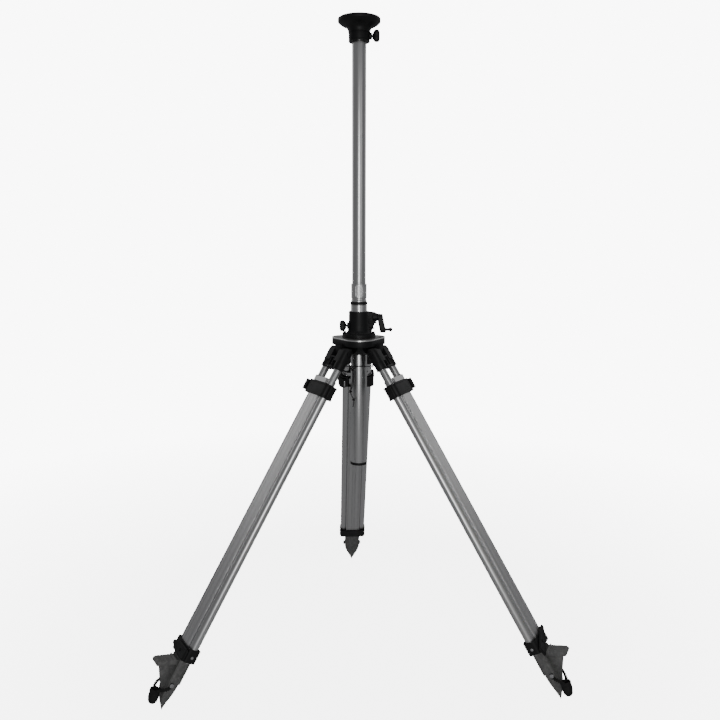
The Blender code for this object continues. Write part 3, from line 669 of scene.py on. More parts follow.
def bored(rows, radius):
    """Loops from the bottom up, closed by a round bore with a slot at the back for the rack."""
    rows = np.stack(rows)
    angle = np.arctan2(rows[0, :, 1], rows[0, :, 0])
    reach = np.where(np.abs(angle - 0.25 * TURN) < SLOT_HALF_ANGLE, SLOT_REACH, radius)
    inner = rows[[-1, 0]].copy()
    inner[..., 0] = reach * np.cos(angle)
    inner[..., 1] = reach * np.sin(angle)
    return np.concatenate([rows, inner])


def turned_about_z(grid, degrees):
    c, s = math.cos(math.radians(degrees)), math.sin(math.radians(degrees))
    x, y, z = np.moveaxis(np.asarray(grid, float), -1, 0)
    return np.stack([x * c - y * s, x * s + y * c, z], axis=-1)


def up(l):
    return l - FOLD_L


def leg_azimuth(tag):
    across = JOINTS["leg_fold_" + tag]["axis"]
    return math.degrees(math.atan2(-across[0], across[1]))


# ---------------------------------------------------------------- stage
def area_light(name, place, target, size, watts):
    lamp = bpy.data.lights.new(name, "AREA")
    lamp.shape = "RECTANGLE"
    lamp.size, lamp.size_y = size
    lamp.energy = watts
    obj = bpy.data.objects.new(name, lamp)
    bpy.context.scene.collection.objects.link(obj)
    obj.location = place
    obj.rotation_euler = (Vector(target) - Vector(place)).to_track_quat("-Z", "Y").to_euler()


def make_camera(stage):
    """Camera on a level circle about the column, tilted down."""
    turn, pitch = stage.camera_turn, stage.camera_pitch
    yaw, roll = 0.001654, 0.001418
    ahead = np.array([math.sin(yaw) * math.cos(pitch), math.cos(yaw) * math.cos(pitch), -math.sin(pitch)])
    right = np.array([math.cos(yaw), -math.sin(yaw), 0.0])
    lift = np.cross(right, ahead)
    right, lift = (math.cos(roll) * right + math.sin(roll) * lift,
                   math.cos(roll) * lift - math.sin(roll) * right)
    swing = np.array([[math.cos(turn), -math.sin(turn), 0.0], [math.sin(turn), math.cos(turn), 0.0],
                      [0.0, 0.0, 1.0]])
    axes = np.stack([right, lift, -ahead]) @ swing
    camera = bpy.data.objects.new("camera", bpy.data.cameras.new("camera"))
    bpy.context.scene.collection.objects.link(camera)
    camera.data.lens = stage.focal_length
    camera.data.sensor_width = 36.0
    camera.data.shift_y = stage.camera_shift
    camera.rotation_euler = Matrix(axes.tolist()).transposed().to_euler()
    x, y, _ = COLUMN.origin
    camera.location = (x - stage.camera_distance * math.sin(turn),
                       y - stage.camera_distance * math.cos(turn), stage.camera_height)
    bpy.context.scene.camera = camera


def floor_material(stage, colours):
    """Matt floor that fades out with the distance from its middle."""
    f = Finish("floor")
    out = f.tree.nodes["Material Output"]
    where = f.place((0.0, 0.0, 0.0), (stage.floor_radius,) * 3)
    reach = f.node("ShaderNodeVectorMath", {"operation": "LENGTH"}, {0: where}, output=1)
    fade = f.ramp(reach, (0.25, 0.62), (0.92, 1.0))
    clear = f.node("ShaderNodeBsdfTransparent")
    mixed = f.node("ShaderNodeMixShader", {}, {0: fade, 1: Wire(f, f.shader.outputs[0]), 2: clear})
    tone = f.noise(f.place(), 3.0, 4.0)
    base = Vector(colours.floor)
    f.set(base_color=f.blend(tone, base * 0.985, base), roughness=0.8, specular_ior_level=0.2)
    f.tree.links.new(mixed.socket, out.inputs["Surface"])
    return f.material


FLOOR_SPOKES = 96
FLOOR_DEPTH = 0.0005         # metres under the tips of the spikes


def make_floor(stage, colours):
    """Flat disc just under the feet: a fan of triangles, then rings of quads."""
    radii = stage.floor_radius * np.linspace(0.0, 1.0, stage.floor_rings + 1)[1:]
    count = FLOOR_SPOKES
    angle = np.arange(count) * TURN / count
    points = [(0.0, 0.0, -FLOOR_DEPTH)]
    points += [(r * math.cos(a), r * math.sin(a), -FLOOR_DEPTH) for r in radii for a in angle]
    faces = [(0, 1 + j, 1 + (j + 1) % count) for j in range(count)]
    for i in range(len(radii) - 1):
        low, high = 1 + count * i, 1 + count * (i + 1)
        faces += [(low + j, high + j, high + (j + 1) % count, low + (j + 1) % count)
                  for j in range(count)]
    mesh = bpy.data.meshes.new("floor")
    mesh.from_pydata(points, [], faces)
    mesh.materials.append(floor_material(stage, colours))
    obj = bpy.data.objects.new("floor", mesh)
    bpy.context.scene.collection.objects.link(obj)
    obj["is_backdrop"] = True


SEEN_STRENGTH = 9.0          # of the white that the camera sees
SURROUND_STRENGTH = 0.21     # of the grey that lights the tripod


def make_world():
    """White behind everything for the camera, and a soft grey surround for the light."""
    world = bpy.data.worlds.new("surround")
    bpy.context.scene.world = world
    world.use_nodes = True
    tree = world.node_tree
    tree.nodes.clear()
    out = tree.nodes.new("ShaderNodeOutputWorld")
    mix = tree.nodes.new("ShaderNodeMixShader")
    path = tree.nodes.new("ShaderNodeLightPath")
    seen, around = tree.nodes.new("ShaderNodeBackground"), tree.nodes.new("ShaderNodeBackground")
    seen.inputs[0].default_value = (1.0, 1.0, 1.0, 1.0)
    seen.inputs[1].default_value = SEEN_STRENGTH
    around.inputs[0].default_value = (0.97, 0.98, 1.0, 1.0)
    around.inputs[1].default_value = SURROUND_STRENGTH
    tree.links.new(path.outputs["Is Camera Ray"], mix.inputs[0])
    tree.links.new(around.outputs[0], mix.inputs[1])
    tree.links.new(seen.outputs[0], mix.inputs[2])
    tree.links.new(mix.outputs[0], out.inputs[0])


class TRIPOD_OT_stage(bpy.types.Operator):
    """Camera, floor, surround and lights"""
    bl_idname = "tripod.stage"
    bl_label = "Stage"

    def execute(self, context):
        stage = context.scene.tripod_stage
        make_camera(stage)
        make_floor(stage, context.scene.tripod_colours)
        make_world()
        x, y, _ = COLUMN.origin
        area_light("strip", (x - 0.04, y - 2.8, 1.3), (x, y, 1.25), (0.12, 1.7), stage.strip_power)
        area_light("left", (x - 2.3, y + 2.0, 2.0), (x, y, 0.9), (2.2, 2.2), stage.left_power)
        area_light("right", (x + 2.3, y + 2.0, 2.0), (x, y, 0.9), (2.2, 2.2), stage.right_power)
        area_light("front", (x + 1.5, y - 2.3, 1.7), (x, y, 1.0), (1.1, 2.0), stage.front_power)
        area_light("top", (x, y - 0.2, 3.4), (x, y, 0.9), (2.2, 2.2), stage.top_power)
        return {"FINISHED"}


# ---------------------------------------------------------------- cord
CORD_R = 1.3
CORD_Y = -30.5
CORD_Z = 932.5
HOOK_X = 40.0
KNOT_X = -20.5


def eased(route, step):
    """Points about every step along a smooth curve through the route."""
    route = np.array(route, float)
    run = np.concatenate([[0.0], np.cumsum(np.linalg.norm(np.diff(route, axis=0), axis=1))])
    return smooth(run, route, np.linspace(0.0, run[-1], int(run[-1] / step) + 2))


def twisted(path, radius, pitch=5.0, count=18):
    """Three-strand cord: r = radius (0.95 + 0.05 cos 3(a - turn s / pitch))."""
    run = np.concatenate([[0.0], np.cumsum(np.linalg.norm(np.diff(path, axis=0), axis=1))])
    angle = np.arange(count) * TURN / count
    reach = radius * (0.95 + 0.05 * np.cos(3.0 * (angle[None] - TURN * run[:, None] / pitch)))
    outlines = np.stack([reach * np.cos(angle), reach * np.sin(angle)], axis=-1)
    return along_path(path, outlines, (0.0, 1.0, 0.0))


def trefoil(centre, size, depth, radius, tilt=0.0):
    """Tied knot: x = sin t + 2 sin 2t, z = cos t - 2 cos 2t, y = -sin 3t, scaled and tilted."""
    t = np.linspace(0.0, TURN, 120, endpoint=False)
    x = size * (np.sin(t) + 2.0 * np.sin(2.0 * t))
    z = size * (np.cos(t) - 2.0 * np.cos(2.0 * t))
    c, s = math.cos(tilt), math.sin(tilt)
    path = np.stack([x * c - z * s, -depth * np.sin(3.0 * t), x * s + z * c], axis=1) + centre
    closed = np.vstack([path[-2:], path, path[:2]])
    angle = np.arange(12) * TURN / 12
    loop = radius * np.stack([np.cos(angle), np.sin(angle)], axis=1)
    return along_path(closed, loop, (0.0, 1.0, 0.31))[2:-2]


def cord_route():
    top = CORD_Z - 1.0 - CORD_R - 0.4
    return [(KNOT_X, CORD_Y - 0.2, top - 7.3), (KNOT_X - 0.5, CORD_Y - 0.4, top - 40.0),
            (KNOT_X - 4.5, CORD_Y - 0.7, top - 61.0), (KNOT_X - 6.5, CORD_Y - 0.9, top - 75.0),
            (KNOT_X - 2.3, CORD_Y - 1.0, top - 89.0), (KNOT_X + 3.4, CORD_Y - 1.0, top - 101.0),
            (KNOT_X + 3.2, CORD_Y - 0.9, top - 112.0), (KNOT_X + 1.2, CORD_Y - 0.8, top - 123.0)]


class TRIPOD_OT_cord(bpy.types.Operator):
    """Cord strung between the hooks, its knots and the end that hangs down"""
    bl_idname = "tripod.cord"
    bl_label = "Cord"

    def execute(self, context):
        skin = finish(braided, "cord")
        span = eased([(-44.5, CORD_Y, CORD_Z), (0.0, CORD_Y, CORD_Z - 0.8), (44.5, CORD_Y, CORD_Z)], 0.5)
        span_piece = Solid().shell(twisted(span, CORD_R)).piece("cord_strung", skin, "head", ("cord_span",))
        centre = np.array((KNOT_X, CORD_Y - 0.2, CORD_Z - 6.2))
        knot = Solid().shell(trefoil(centre, 2.4, 2.0, 1.35), loop_rows=True)
        knot_piece = knot.piece("cord_top_knot", skin, "head", ("cord_knot",))
        tuple(COLUMN.world(span[0]))
        [tuple(p) for p in COLUMN.world(span)]
        tail = eased(cord_route(), 0.5)
        tail_piece = Solid().shell(twisted(tail, CORD_R))
        tail_piece = tail_piece.piece("cord_hanging", skin, "head", ("cord_tail",))
        knots = Solid()
        for row, size in ((3, 1.25), (5, 1.15)):
            knots.shell(trefoil(np.array(cord_route()[row]), size, 1.3, 1.25, 0.5 * row), loop_rows=True)
        knots_piece = knots.piece("cord_lower_knots", skin, "head")
        tuple(COLUMN.world(tail[0]))
        [tuple(p) for p in COLUMN.world(tail)]
        side = eased([(x + 3.2 - 0.02 * i, y, z) for i, (x, y, z) in enumerate(cord_route()[:3])]
                     + [(KNOT_X - 5.4, CORD_Y - 0.9, CORD_Z - 74.0)], 0.5)
        second = Solid().shell(twisted(side, CORD_R * 0.9)).piece("cord_doubled", skin, "head")
        tuple(COLUMN.world(side[0]))
        [tuple(p) for p in COLUMN.world(side)]
        return {"FINISHED"}


# ---------------------------------------------------------------- column
class TRIPOD_OT_plate(bpy.types.Operator):
    """Mounting plate with its neck and the boss of the thumb screw"""
    bl_idname = "tripod.plate"
    bl_label = "Mounting plate"

    def execute(self, context):
        size = context.scene.tripod_column
        plate, neck = mm(size.plate_radius), mm(size.neck_radius)
        corners = [(8.4, 1930.0, 0.5), (40.0, 1930.0, 0.2), (40.4, 1929.4, 0.2), (41.6, 1929.4, 0.2),
                   (42.0, 1930.0, 0.2), (plate, 1930.0, 1.4), (plate, 1921.0, 1.6), (52.5, 1914.0, 7.0),
                   (40.5, 1909.0, 7.0), (34.0, 1903.0, 5.0), (neck + 1.2, 1895.5, 2.0),
                   (neck + 1.2, 1892.0, 0.5), (neck - 0.4, 1891.4, 0.4), (neck - 0.4, 1889.8, 0.4),
                   (neck, 1889.2, 0.4), (neck, 1873.6, 0.4), (neck - 0.6, 1873.0, 0.3),
                   (neck - 0.6, 1871.6, 0.3), (neck, 1871.0, 0.3), (neck, 1867.5, 1.2),
                   (21.2, 1867.5, 0.4), (21.2, 1915.5, 0.4), (8.4, 1915.5, 0.4)]
        profile = rounded([c[:2] for c in corners], [c[2] for c in corners], 6)
        solid = Solid().shell(spun(profile, 128), loop_rows=True)
        boss = [(8.0, 25.0), (9.4, 26.0), (9.4, 35.6), (8.4, 36.6), (4.4, 36.6), (4.4, 25.0)]
        solid.shell(spun(rounded(boss, 0.6, 4), 48, "x") + (0.0, 0.0, THUMB_Z), loop_rows=True)
        solid.piece("plate", finish(black_coat, "column"), "plate", ("mounting_plate",))
        return {"FINISHED"}


class TRIPOD_OT_stud(bpy.types.Operator):
    """Threaded stud for the instrument"""
    bl_idname = "tripod.stud"
    bl_label = "Instrument stud"

    def execute(self, context):
        size = context.scene.tripod_column
        radius = mm(size.stud_radius)
        solid = Solid().shell(threaded(radius, 1.2, mm(size.stud_pitch), 1915.0, 1944.5, 56))
        solid.shell(spun([(13.4, 1911.6), (14.0, 1912.2), (14.0, 1914.6), (13.4, 1915.2)], 48))
        solid.piece("stud", finish(bright_steel, "column"), "plate", ("instrument_stud",), sharp=30.0)
        return {"FINISHED"}


class TRIPOD_OT_knobs(bpy.types.Operator):
    """Two lobed knobs on threaded stems"""
    bl_idname = "tripod.knobs"
    bl_label = "Lobed knobs"

    def execute(self, context):
        radius = mm(context.scene.tripod_column.knob_radius)
        for name, body, node, side, start, height, stem, stem_start in (
                ("thumb_knob", "thumb_screw", "head_thumb_screw", 1.0, 38.0, THUMB_Z, 3.9, 21.9),
                ("side_knob", "clamp_knob", "clamp_knob", -1.0, 38.5, CLAMP_KNOB_Z, 3.6, 26.2)):
            knob = knob_solid(radius, start, side, height)
            knob.piece(name, finish(moulded_black, "column"), body, (node,), sharp=50.0)
            thread = threaded(stem, 0.5, 1.25, stem_start, start + 3.0, 24)
            turned = np.stack([side * thread[..., 2], thread[..., 0], thread[..., 1] + height], axis=-1)
            screw = Solid().shell(turned).piece(name + "_screw", finish(bright_steel, "column"), body)
        return {"FINISHED"}


def pipe(outer, inner, low, high, edge=0.4):
    """Profile of a tube, all four corners eased."""
    return rounded([(outer, low), (outer, high), (inner, high), (inner, low)], edge, 4)


class TRIPOD_OT_tubes(bpy.types.Operator):
    """Inner and outer column tubes and the cap at the bottom"""
    bl_idname = "tripod.tubes"
    bl_label = "Column tubes"

    def execute(self, context):
        size = context.scene.tripod_column
        inner, outer, wall = mm(size.inner_radius), mm(size.outer_radius), mm(size.wall)
        skin = finish(satin_tube, "column")
        tube = Solid().shell(spun(pipe(inner, inner - wall, 1030.0, 1911.0), 128), loop_rows=True)
        tube.piece("mast", skin, "mast", ("inner_tube",))
        tube = Solid().shell(spun(pipe(outer, outer - wall, 620.0, 1117.0), 128), loop_rows=True)
        tube.piece("column", skin, "column", ("outer_tube",))
        cap = [(20.0, 616.5), (26.3, 616.5), (26.3, 624.0), (outer + 0.4, 624.0), (outer + 0.4, 619.6),
               (20.0, 619.6)]
        profile = np.vstack([[(2.0, 616.5)], rounded(cap, 0.9, 5)[5:-5], [(2.0, 619.6)]])
        cap = Solid().shell(spun(profile, 96))
        cap.piece("column_cap", finish(moulded_black, "column"), "column", ("bottom_cap",))
        return {"FINISHED"}


def ribs(count, depth, low, high, radius):
    """Grooves cut along a round grip: r falls by depth * |sin(count a / 2)| ^ 0.5 on its skirt."""
    def cut(base, height, angle):
        ease = np.clip(np.minimum(height - low, high - height) / 1.5, 0.0, 1.0)
        groove = 1.0 - np.abs(np.sin(0.5 * count * angle)) ** 0.5
        return base - depth * groove * ease * (base > radius - 0.3)
    return cut


class TRIPOD_OT_collar(bpy.types.Operator):
    """Ribbed collar nut, the collet it closes and the wiper under it"""
    bl_idname = "tripod.collar"
    bl_label = "Collar nut and collet"

    def execute(self, context):
        radius = mm(context.scene.tripod_column.nut_radius)
        corners = [(21.3, 1181.0), (radius - 0.6, 1181.0), (radius, 1180.2)]
        corners += [(radius, z) for z in np.linspace(1179.0, 1140.0, 14)]
        corners += [(radius, 1138.8), (radius - 0.6, 1138.0), (22.9, 1138.0), (22.9, 1167.0),
                    (21.3, 1167.0)]
        grid = spun(corners, 28 * 12, "z", ribs(28, 0.45, 1140.0, 1177.5, radius))
        nut = Solid().shell(grid, loop_rows=True)
        nut.piece("collar", finish(satin_tube, "column"), "collar", ("collar_nut",))
        collet = rounded([(21.2, 1095.0), (22.6, 1095.0), (22.6, 1117.4), (24.8, 1117.4), (24.8, 1119.0),
                          (23.2, 1119.0), (23.2, 1126.8), (23.75, 1128.0), (23.6, 1131.0),
                          (22.2, 1134.0), (22.2, 1137.0), (22.5, 1139.0), (22.5, 1165.0),
                          (21.2, 1165.0)], 0.4, 4)
        body = Solid().shell(spun(collet, 96), loop_rows=True)
        body.piece("collet_sleeve", finish(satin_tube, "column"), "column", ("collet",))
        ring = rounded([(23.6, 1119.4), (26.0, 1119.4), (26.0, 1126.4), (23.6, 1126.4)], 0.8, 5)
        wiper = Solid().shell(spun(ring, 96), loop_rows=True)
        wiper.piece("wiper", finish(moulded_black, "column"), "column", ("wiper_ring",))
        return {"FINISHED"}


# ---------------------------------------------------------------- gear drive
FLANGE_SCREWS = (170.0, 260.0, 350.0)    # degrees round the column
FLANGE_SCREW_REACH = 44.0


def round_flange(profile, count):
    """The profile turned about the axis of each flange screw."""
    angles = [math.radians(azimuth) for azimuth in FLANGE_SCREWS]
    return [spun(profile, count) + (FLANGE_SCREW_REACH * math.cos(a), FLANGE_SCREW_REACH * math.sin(a), 0.0)
            for a in angles]


def sleeve_grid(bore, flange):
    """Sleeve and flange turned about the column, deepened at the back where the rack runs."""
    sleeve = rounded([(bore, 1098.0), (30.8, 1098.0), (31.0, 1078.0), (31.6, 1052.0),
                      (34.2, 1038.0), (40.0, 1030.6), (flange, 1029.6), (flange, 1018.9),
                      (bore, 1018.9)], [0.5, 1.2, 6.0, 6.0, 5.0, 3.0, 1.6, 0.6, 0.4], 7)

    def slotted(radius, height, angle):
        near = np.abs(angle - 0.25 * TURN) < SLOT_HALF_ANGLE
        wall = np.where(radius < bore + 0.6, SLOT_REACH, SLOT_REACH + 3.0)
        return np.where(near, np.maximum(radius, wall), radius)
    return spun(sleeve, 144, "z", slotted)


def side_ribs():
    """Two level ribs on the side of the gear box; the lower one is shorter."""
    grids = []
    for height, under, over in ((1043.0, 49.0, 50.0), (1060.0, 56.0, 56.5)):
        rib = rounded([(30.0, height - 2.0), (under, height - 2.0), (over, height + 2.0),
                       (30.0, height + 2.0)], 1.0, 4)
        grids.append(pushed(rib, 22.0, 30.0, 1.0, "y"))
    return grids


class TRIPOD_OT_housing(bpy.types.Operator):
    """Housing of the gear drive: sleeve, flange, gear box, bosses and screws"""
    bl_idname = "tripod.housing"
    bl_label = "Column housing"

    def execute(self, context):
        size = context.scene.tripod_column
        bore, flange = mm(size.outer_radius) + 0.5, mm(size.flange_radius)
        solid = Solid().shell(sleeve_grid(bore, flange), loop_rows=True)
        box = [(-18.0, 1090.0), (28.0, 1094.5), (54.0, 1090.5), (57.0, 1085.0), (57.0, 1064.0),
               (51.0, 1056.0), (43.0, 1034.0), (38.0, 1023.0), (-18.0, 1023.0)]
        outline = rounded(box, [6.0, 12.0, 5.0, 4.0, 5.0, 8.0, 8.0, 2.0, 2.0], 7)
        solid.shell(pushed(outline, 32.2, 57.0, 4.0, "y", 5))
        solid.shell(rod(13.5, 44.0, 58.0, "x", (0.0, 41.0, 1076.0), 0.9, 56))
        for grid in side_ribs() + round_flange([(7.4, 1019.2), (7.2, 1029.0), (6.8, 1032.0),
                                                (6.0, 1033.0)], 32):
            solid.shell(grid)
        boss = rounded([(4.2, -24.0), (13.0, -24.0), (10.4, -31.0), (10.0, -36.4), (4.2, -36.4)],
                       [0.4, 0.4, 3.0, 1.0, 0.4], 5)
        solid.shell(spun(boss, 48, "x") + (0.0, 0.0, CLAMP_KNOB_Z), loop_rows=True)
        solid.piece("housing", finish(black_coat, "column"), "head", ("column_housing",))
        screws = Solid()
        for grid in round_flange([(4.6, 1033.0), (4.8, 1033.4), (4.8, 1035.8), (4.2, 1036.6),
                                  (2.4, 1036.6), (2.2, 1034.6)], 24):
            screws.shell(grid)
        piece = screws.piece("flange_screws", finish(black_coat, "column"), "head")
        return {"FINISHED"}


ARM_LENGTH = 39.0            # shaft axis to handle axis
ARM_HALF = 10.0              # half the width of the arm
ARM_CRANKED = 9.6            # how far the handle's end steps outwards


def arm_outline():
    """Two half circles joined by straight sides, from the shaft down to the handle."""
    angle = np.linspace(0.0, math.pi, 28)
    fall = np.linspace(0.0, 1.0, 14)[1:-1]
    edge = np.full(12, ARM_HALF)
    top = np.stack([ARM_HALF * np.cos(angle), ARM_HALF * np.sin(angle)], axis=1)
    left = np.stack([-edge, -ARM_LENGTH * fall], axis=1)
    low = np.stack([-ARM_HALF * np.cos(angle), -ARM_LENGTH - ARM_HALF * np.sin(angle)], axis=1)
    right = np.stack([edge, -ARM_LENGTH * (1.0 - fall)], axis=1)
    return np.vstack([top, left, low, right])


class TRIPOD_OT_crank(bpy.types.Operator):
    """Crank arm on the pinion shaft, with its turning handle"""
    bl_idname = "tripod.crank"
    bl_label = "Crank"

    def execute(self, context):
        grid = pushed(arm_outline(), 58.2, 76.0, 3.0, "x", 5)
        grid[..., 0] += ARM_CRANKED * np.clip(-grid[..., 2] / ARM_LENGTH, 0.0, 1.0)
        arm = Solid().shell(grid)
        arm.shell(rod(11.2, 57.8, 66.0, "x", (0.0, 0.0, 0.0), 1.2, 56))
        arm.piece("arm", finish(black_coat, "crank", CRANK), "crank", ("crank_arm",), CRANK, sharp=45.0)
        bolt = Solid().shell(rod(5.2, 68.0, 77.0, "x", (0.0, 0.0, 0.0), 1.0, 32))
        piece = bolt.piece("arm_bolt", finish(bright_steel, "crank", CRANK), "crank", (), CRANK)
        stations = [83.4, 84.2, 87.0, 91.0, 94.0, 96.4, 98.0, 100.4, 102.8, 104.6, 106.0, 107.0]
        radii = [4.0, 4.8, 4.5, 4.1, 4.2, 5.2, 6.1, 6.6, 6.2, 5.0, 3.2, 1.0]
        at = np.linspace(83.4, 107.0, 56)
        profile = [(2.6, 76.2), (2.6, 83.4)] + list(zip(smooth(stations, radii, at), at))
        grip = Solid().shell(spun(profile, 40, "x") + (0.0, 0.0, -ARM_LENGTH))
        grip.piece("handle", finish(moulded_black, "crank", CRANK), "handle", ("crank_handle",), CRANK)
        return {"FINISHED"}


# ---------------------------------------------------------------- head
class TRIPOD_OT_head(bpy.types.Operator):
    """Head that carries the legs: machined face, black skirt, bowl and hinge lugs"""
    bl_idname = "tripod.head"
    bl_label = "Tripod head"

    def execute(self, context):
        size = context.scene.tripod_column
        flat, half, side = mm(size.flat_radius), mm(size.flat_half), mm(size.side_radius)

        def rim(step, height):
            return head_loop(flat - step, half - step, side - step, height)
        bore = mm(size.outer_radius) + 0.6
        face = Solid().shell(bored([rim(0.0, 1014.6), rim(0.0, 1017.4), rim(0.3, 1018.2),
                                    rim(1.1, 1018.5)], bore), loop_rows=True)
        face.piece("head_face", finish(bare_face, "column"), "head", ("tripod_head",))
        black = Solid().shell(bored([rim(2.0, 995.9), rim(0.4, 996.5), rim(0.0, 997.5),
                                     rim(0.0, 1013.4), rim(0.4, 1014.5)], bore), loop_rows=True)
        heights = np.linspace(970.0, 1004.0, 18)
        radii = smooth([970.0, 975.0, 985.0, 995.0, 1004.0], [50.0, 62.0, 76.0, 84.0, 84.0], heights)
        rows = [head_loop(47.0, math.sqrt(r * r - 47.0 ** 2), r, z) for r, z in zip(radii, heights)]
        black.shell(bored(rows, bore), loop_rows=True)
        for tag in LEGS:
            azimuth = leg_azimuth(tag)
            hinge = np.array(JOINTS["leg_fold_" + tag]["pos_m"])
            reach = mm(math.hypot(*(hinge - COLUMN.origin)[:2]))
            height = mm(hinge[2])
            around = np.linspace(0.3, math.pi - 0.6, 16)
            outline = [(38.0, 1001.0), (reach + 11.5, 1001.0), (reach + 11.5, height)]
            outline += [(reach + 11.5 * math.cos(a), height - 11.5 * math.sin(a)) for a in around]
            outline.append((38.0, 985.0))
            black.shell(turned_about_z(pushed(outline, -12.5, 12.5, 1.4, "y"), azimuth))
        piece = black.piece("head_casting", finish(black_coat, "column"), "head")
        return {"FINISHED"}


class TRIPOD_OT_hooks(bpy.types.Operator):
    """Two rods under the head that end in rings for the cord"""
    bl_idname = "tripod.hooks"
    bl_label = "Cord hooks"

    def execute(self, context):
        skin = finish(bright_steel, "column")
        angle = np.arange(14) * TURN / 14
        for name, side in (("left", -1.0), ("right", 1.0)):
            path = eased([(side * a, b, c) for a, b, c in (
                (34.0, -18.5, 971.0), (34.5, -20.0, 960.0), (38.0, -27.5, 948.0),
                (40.0, -30.3, 940.5), (40.0, -30.5, 937.4))], 1.0)
            loop = 1.5 * np.stack([np.cos(angle), np.sin(angle)], axis=1)
            hook = Solid().shell(along_path(path, loop, (1.0, 0.0, 0.0)))
            t = np.arange(40) * TURN / 40
            ring = np.stack([np.full(40, side * HOOK_X), CORD_Y + 4.3 * np.cos(t),
                             CORD_Z + 4.3 * np.sin(t)], axis=1)
            closed = np.vstack([ring[-2:], ring, ring[:2]])
            grid = along_path(closed, 1.3 / 1.5 * loop, (1.0, 0.0, 0.0))[2:-2]
            hook.shell(grid, loop_rows=True)
            hook.piece("hook_" + name, skin, "head", ("cord_hook_" + name,))
        return {"FINISHED"}


# ---------------------------------------------------------------- legs
def ear_loop(side, depth):
    """Cross-section of a hinge ear: square to the gap, round on the outer side."""
    corners = [(13.4, -depth), (51.2, -depth), (51.2, depth), (13.4, depth)]
    outer = min(15.0, 0.94 * depth)
    loop = rounded([(side * a, b) for a, b in corners], [1.0, outer, outer, 1.0], 9)
    return anticlockwise(loop)


class TRIPOD_OT_leg_heads(bpy.types.Operator):
    """Castings that join the top tubes to the head, and their hinge pins"""
    bl_idname = "tripod.leg_heads"
    bl_label = "Leg heads"

    def execute(self, context):
        spacing = mm(context.scene.tripod_leg.tube_spacing)
        barrel, web = 16.5, 9.5
        open_angle = math.pi - math.asin(web / barrel)
        arc = np.linspace(-open_angle, open_angle, 44)
        right = np.stack([spacing + barrel * np.cos(arc), barrel * np.sin(arc)], axis=1)
        block = np.vstack([right, -right])
        heights = np.concatenate([[up(1122.0), up(1140.0)], barrel * np.sin(np.linspace(0.0, 1.5, 14))])
        thick = np.sqrt(np.maximum(barrel ** 2 - np.clip(heights, 0.0, None) ** 2, 0.0))
        for tag in LEGS:
            place = leg_place(tag)
            solid = Solid().shell(pushed(block, up(1098.5), up(1137.0), 1.2, "z"))
            for side in (-1.0, 1.0):
                ear = [placed(ear_loop(side, depth), height, "z") for depth, height in zip(thick, heights)]
                solid.shell(np.stack(ear))
                rib = pushed(slab(1.6, 15.2, 1.0, 4), up(1100.0), up(1136.0), 0.8, "z")
                solid.shell(rib + (side * 8.0, 0.0, 0.0))
            for height in (1102.5, 1133.5):
                bar = pushed(slab(20.0, 15.4, 1.0, 4), up(height - 2.4), up(height + 2.4), 0.8, "z")
                solid.shell(bar)
            solid.piece("leg_top_" + tag, leg_finish(black_coat, tag), "leg_" + tag,
                        ("leg_head_" + tag,), place, sharp=32.0)
            pin = [(3.0, -53.6), (3.4, -55.5), (6.2, -55.5), (7.0, -54.7), (7.0, -51.9), (4.4, -51.6),
                   (4.4, 51.6), (7.0, 51.9), (7.0, 54.7), (6.2, 55.5), (3.4, 55.5), (3.0, 53.6)]
            Solid().shell(spun(pin, 40, "x")).piece(
                "pin_" + tag, leg_finish(black_coat, tag), "leg_" + tag,
                ("hinge_pin_" + tag,), place)
        return {"FINISHED"}


class TRIPOD_OT_leg_tubes(bpy.types.Operator):
    """Two drawn tubes at the top of each leg"""
    bl_idname = "tripod.leg_tubes"
    bl_label = "Leg tubes"

    def execute(self, context):
        leg = context.scene.tripod_leg
        radius, spacing = mm(leg.tube_radius), mm(leg.tube_spacing)
        profile = pipe(radius, radius - 1.6, up(330.0), up(1137.0))
        for tag in LEGS:
            place = leg_place(tag)
            for letter, side in (("a", -1.0), ("b", 1.0)):
                tube = Solid().shell(spun(profile, 64) + (side * spacing, 0.0, 0.0), loop_rows=True)
                tube.piece("tube_%s_%s" % (letter, tag), leg_finish(satin_tube, tag),
                           "leg_" + tag, ("top_tube_%s_%s" % (letter, tag),), place)
        return {"FINISHED"}


def section_loop(leg):
    """Flat panel with shallow grooves along it, and a round lobe at each side."""
    spacing, lobe = mm(leg.tube_spacing), mm(leg.lobe_radius)
    half, depth = mm(leg.panel_half), mm(leg.panel_depth)
    reach = math.acos((half - spacing) / lobe)
    arc = np.linspace(-reach, reach, 40)
    quarter = np.stack([spacing + lobe * np.cos(arc), lobe * np.sin(arc)], axis=1)
    face = [(half, depth - 1.2), (half - 0.4, depth - 0.3), (half - 1.2, depth)]
    for groove in (21.5, 18.5, 6.0, 3.0, -3.0, -6.0, -18.5, -21.5):
        face += [(groove + 0.55, depth), (groove, depth - 0.7), (groove - 0.55, depth)]
    face += [(1.2 - half, depth), (0.4 - half, depth - 0.3), (-half, depth - 1.2)]
    edge = np.array(face)
    return np.vstack([quarter, edge, -quarter, -edge])


def collar_loop(leg, half, front, back, clearance):
    """Plate outline whose sides are scooped out round the top tubes."""
    spacing, radius = mm(leg.tube_spacing), mm(leg.tube_radius) + clearance
    swing = math.acos((half - spacing) / radius)
    arc = np.linspace(-swing, -TURN + swing, 24)
    scoop = np.stack([spacing + radius * np.cos(arc), radius * np.sin(arc)], axis=1)
    return np.vstack([[(half, front)], scoop, [(half, back), (-half, back)],
                      (scoop * (-1.0, 1.0))[::-1], [(-half, front)]])


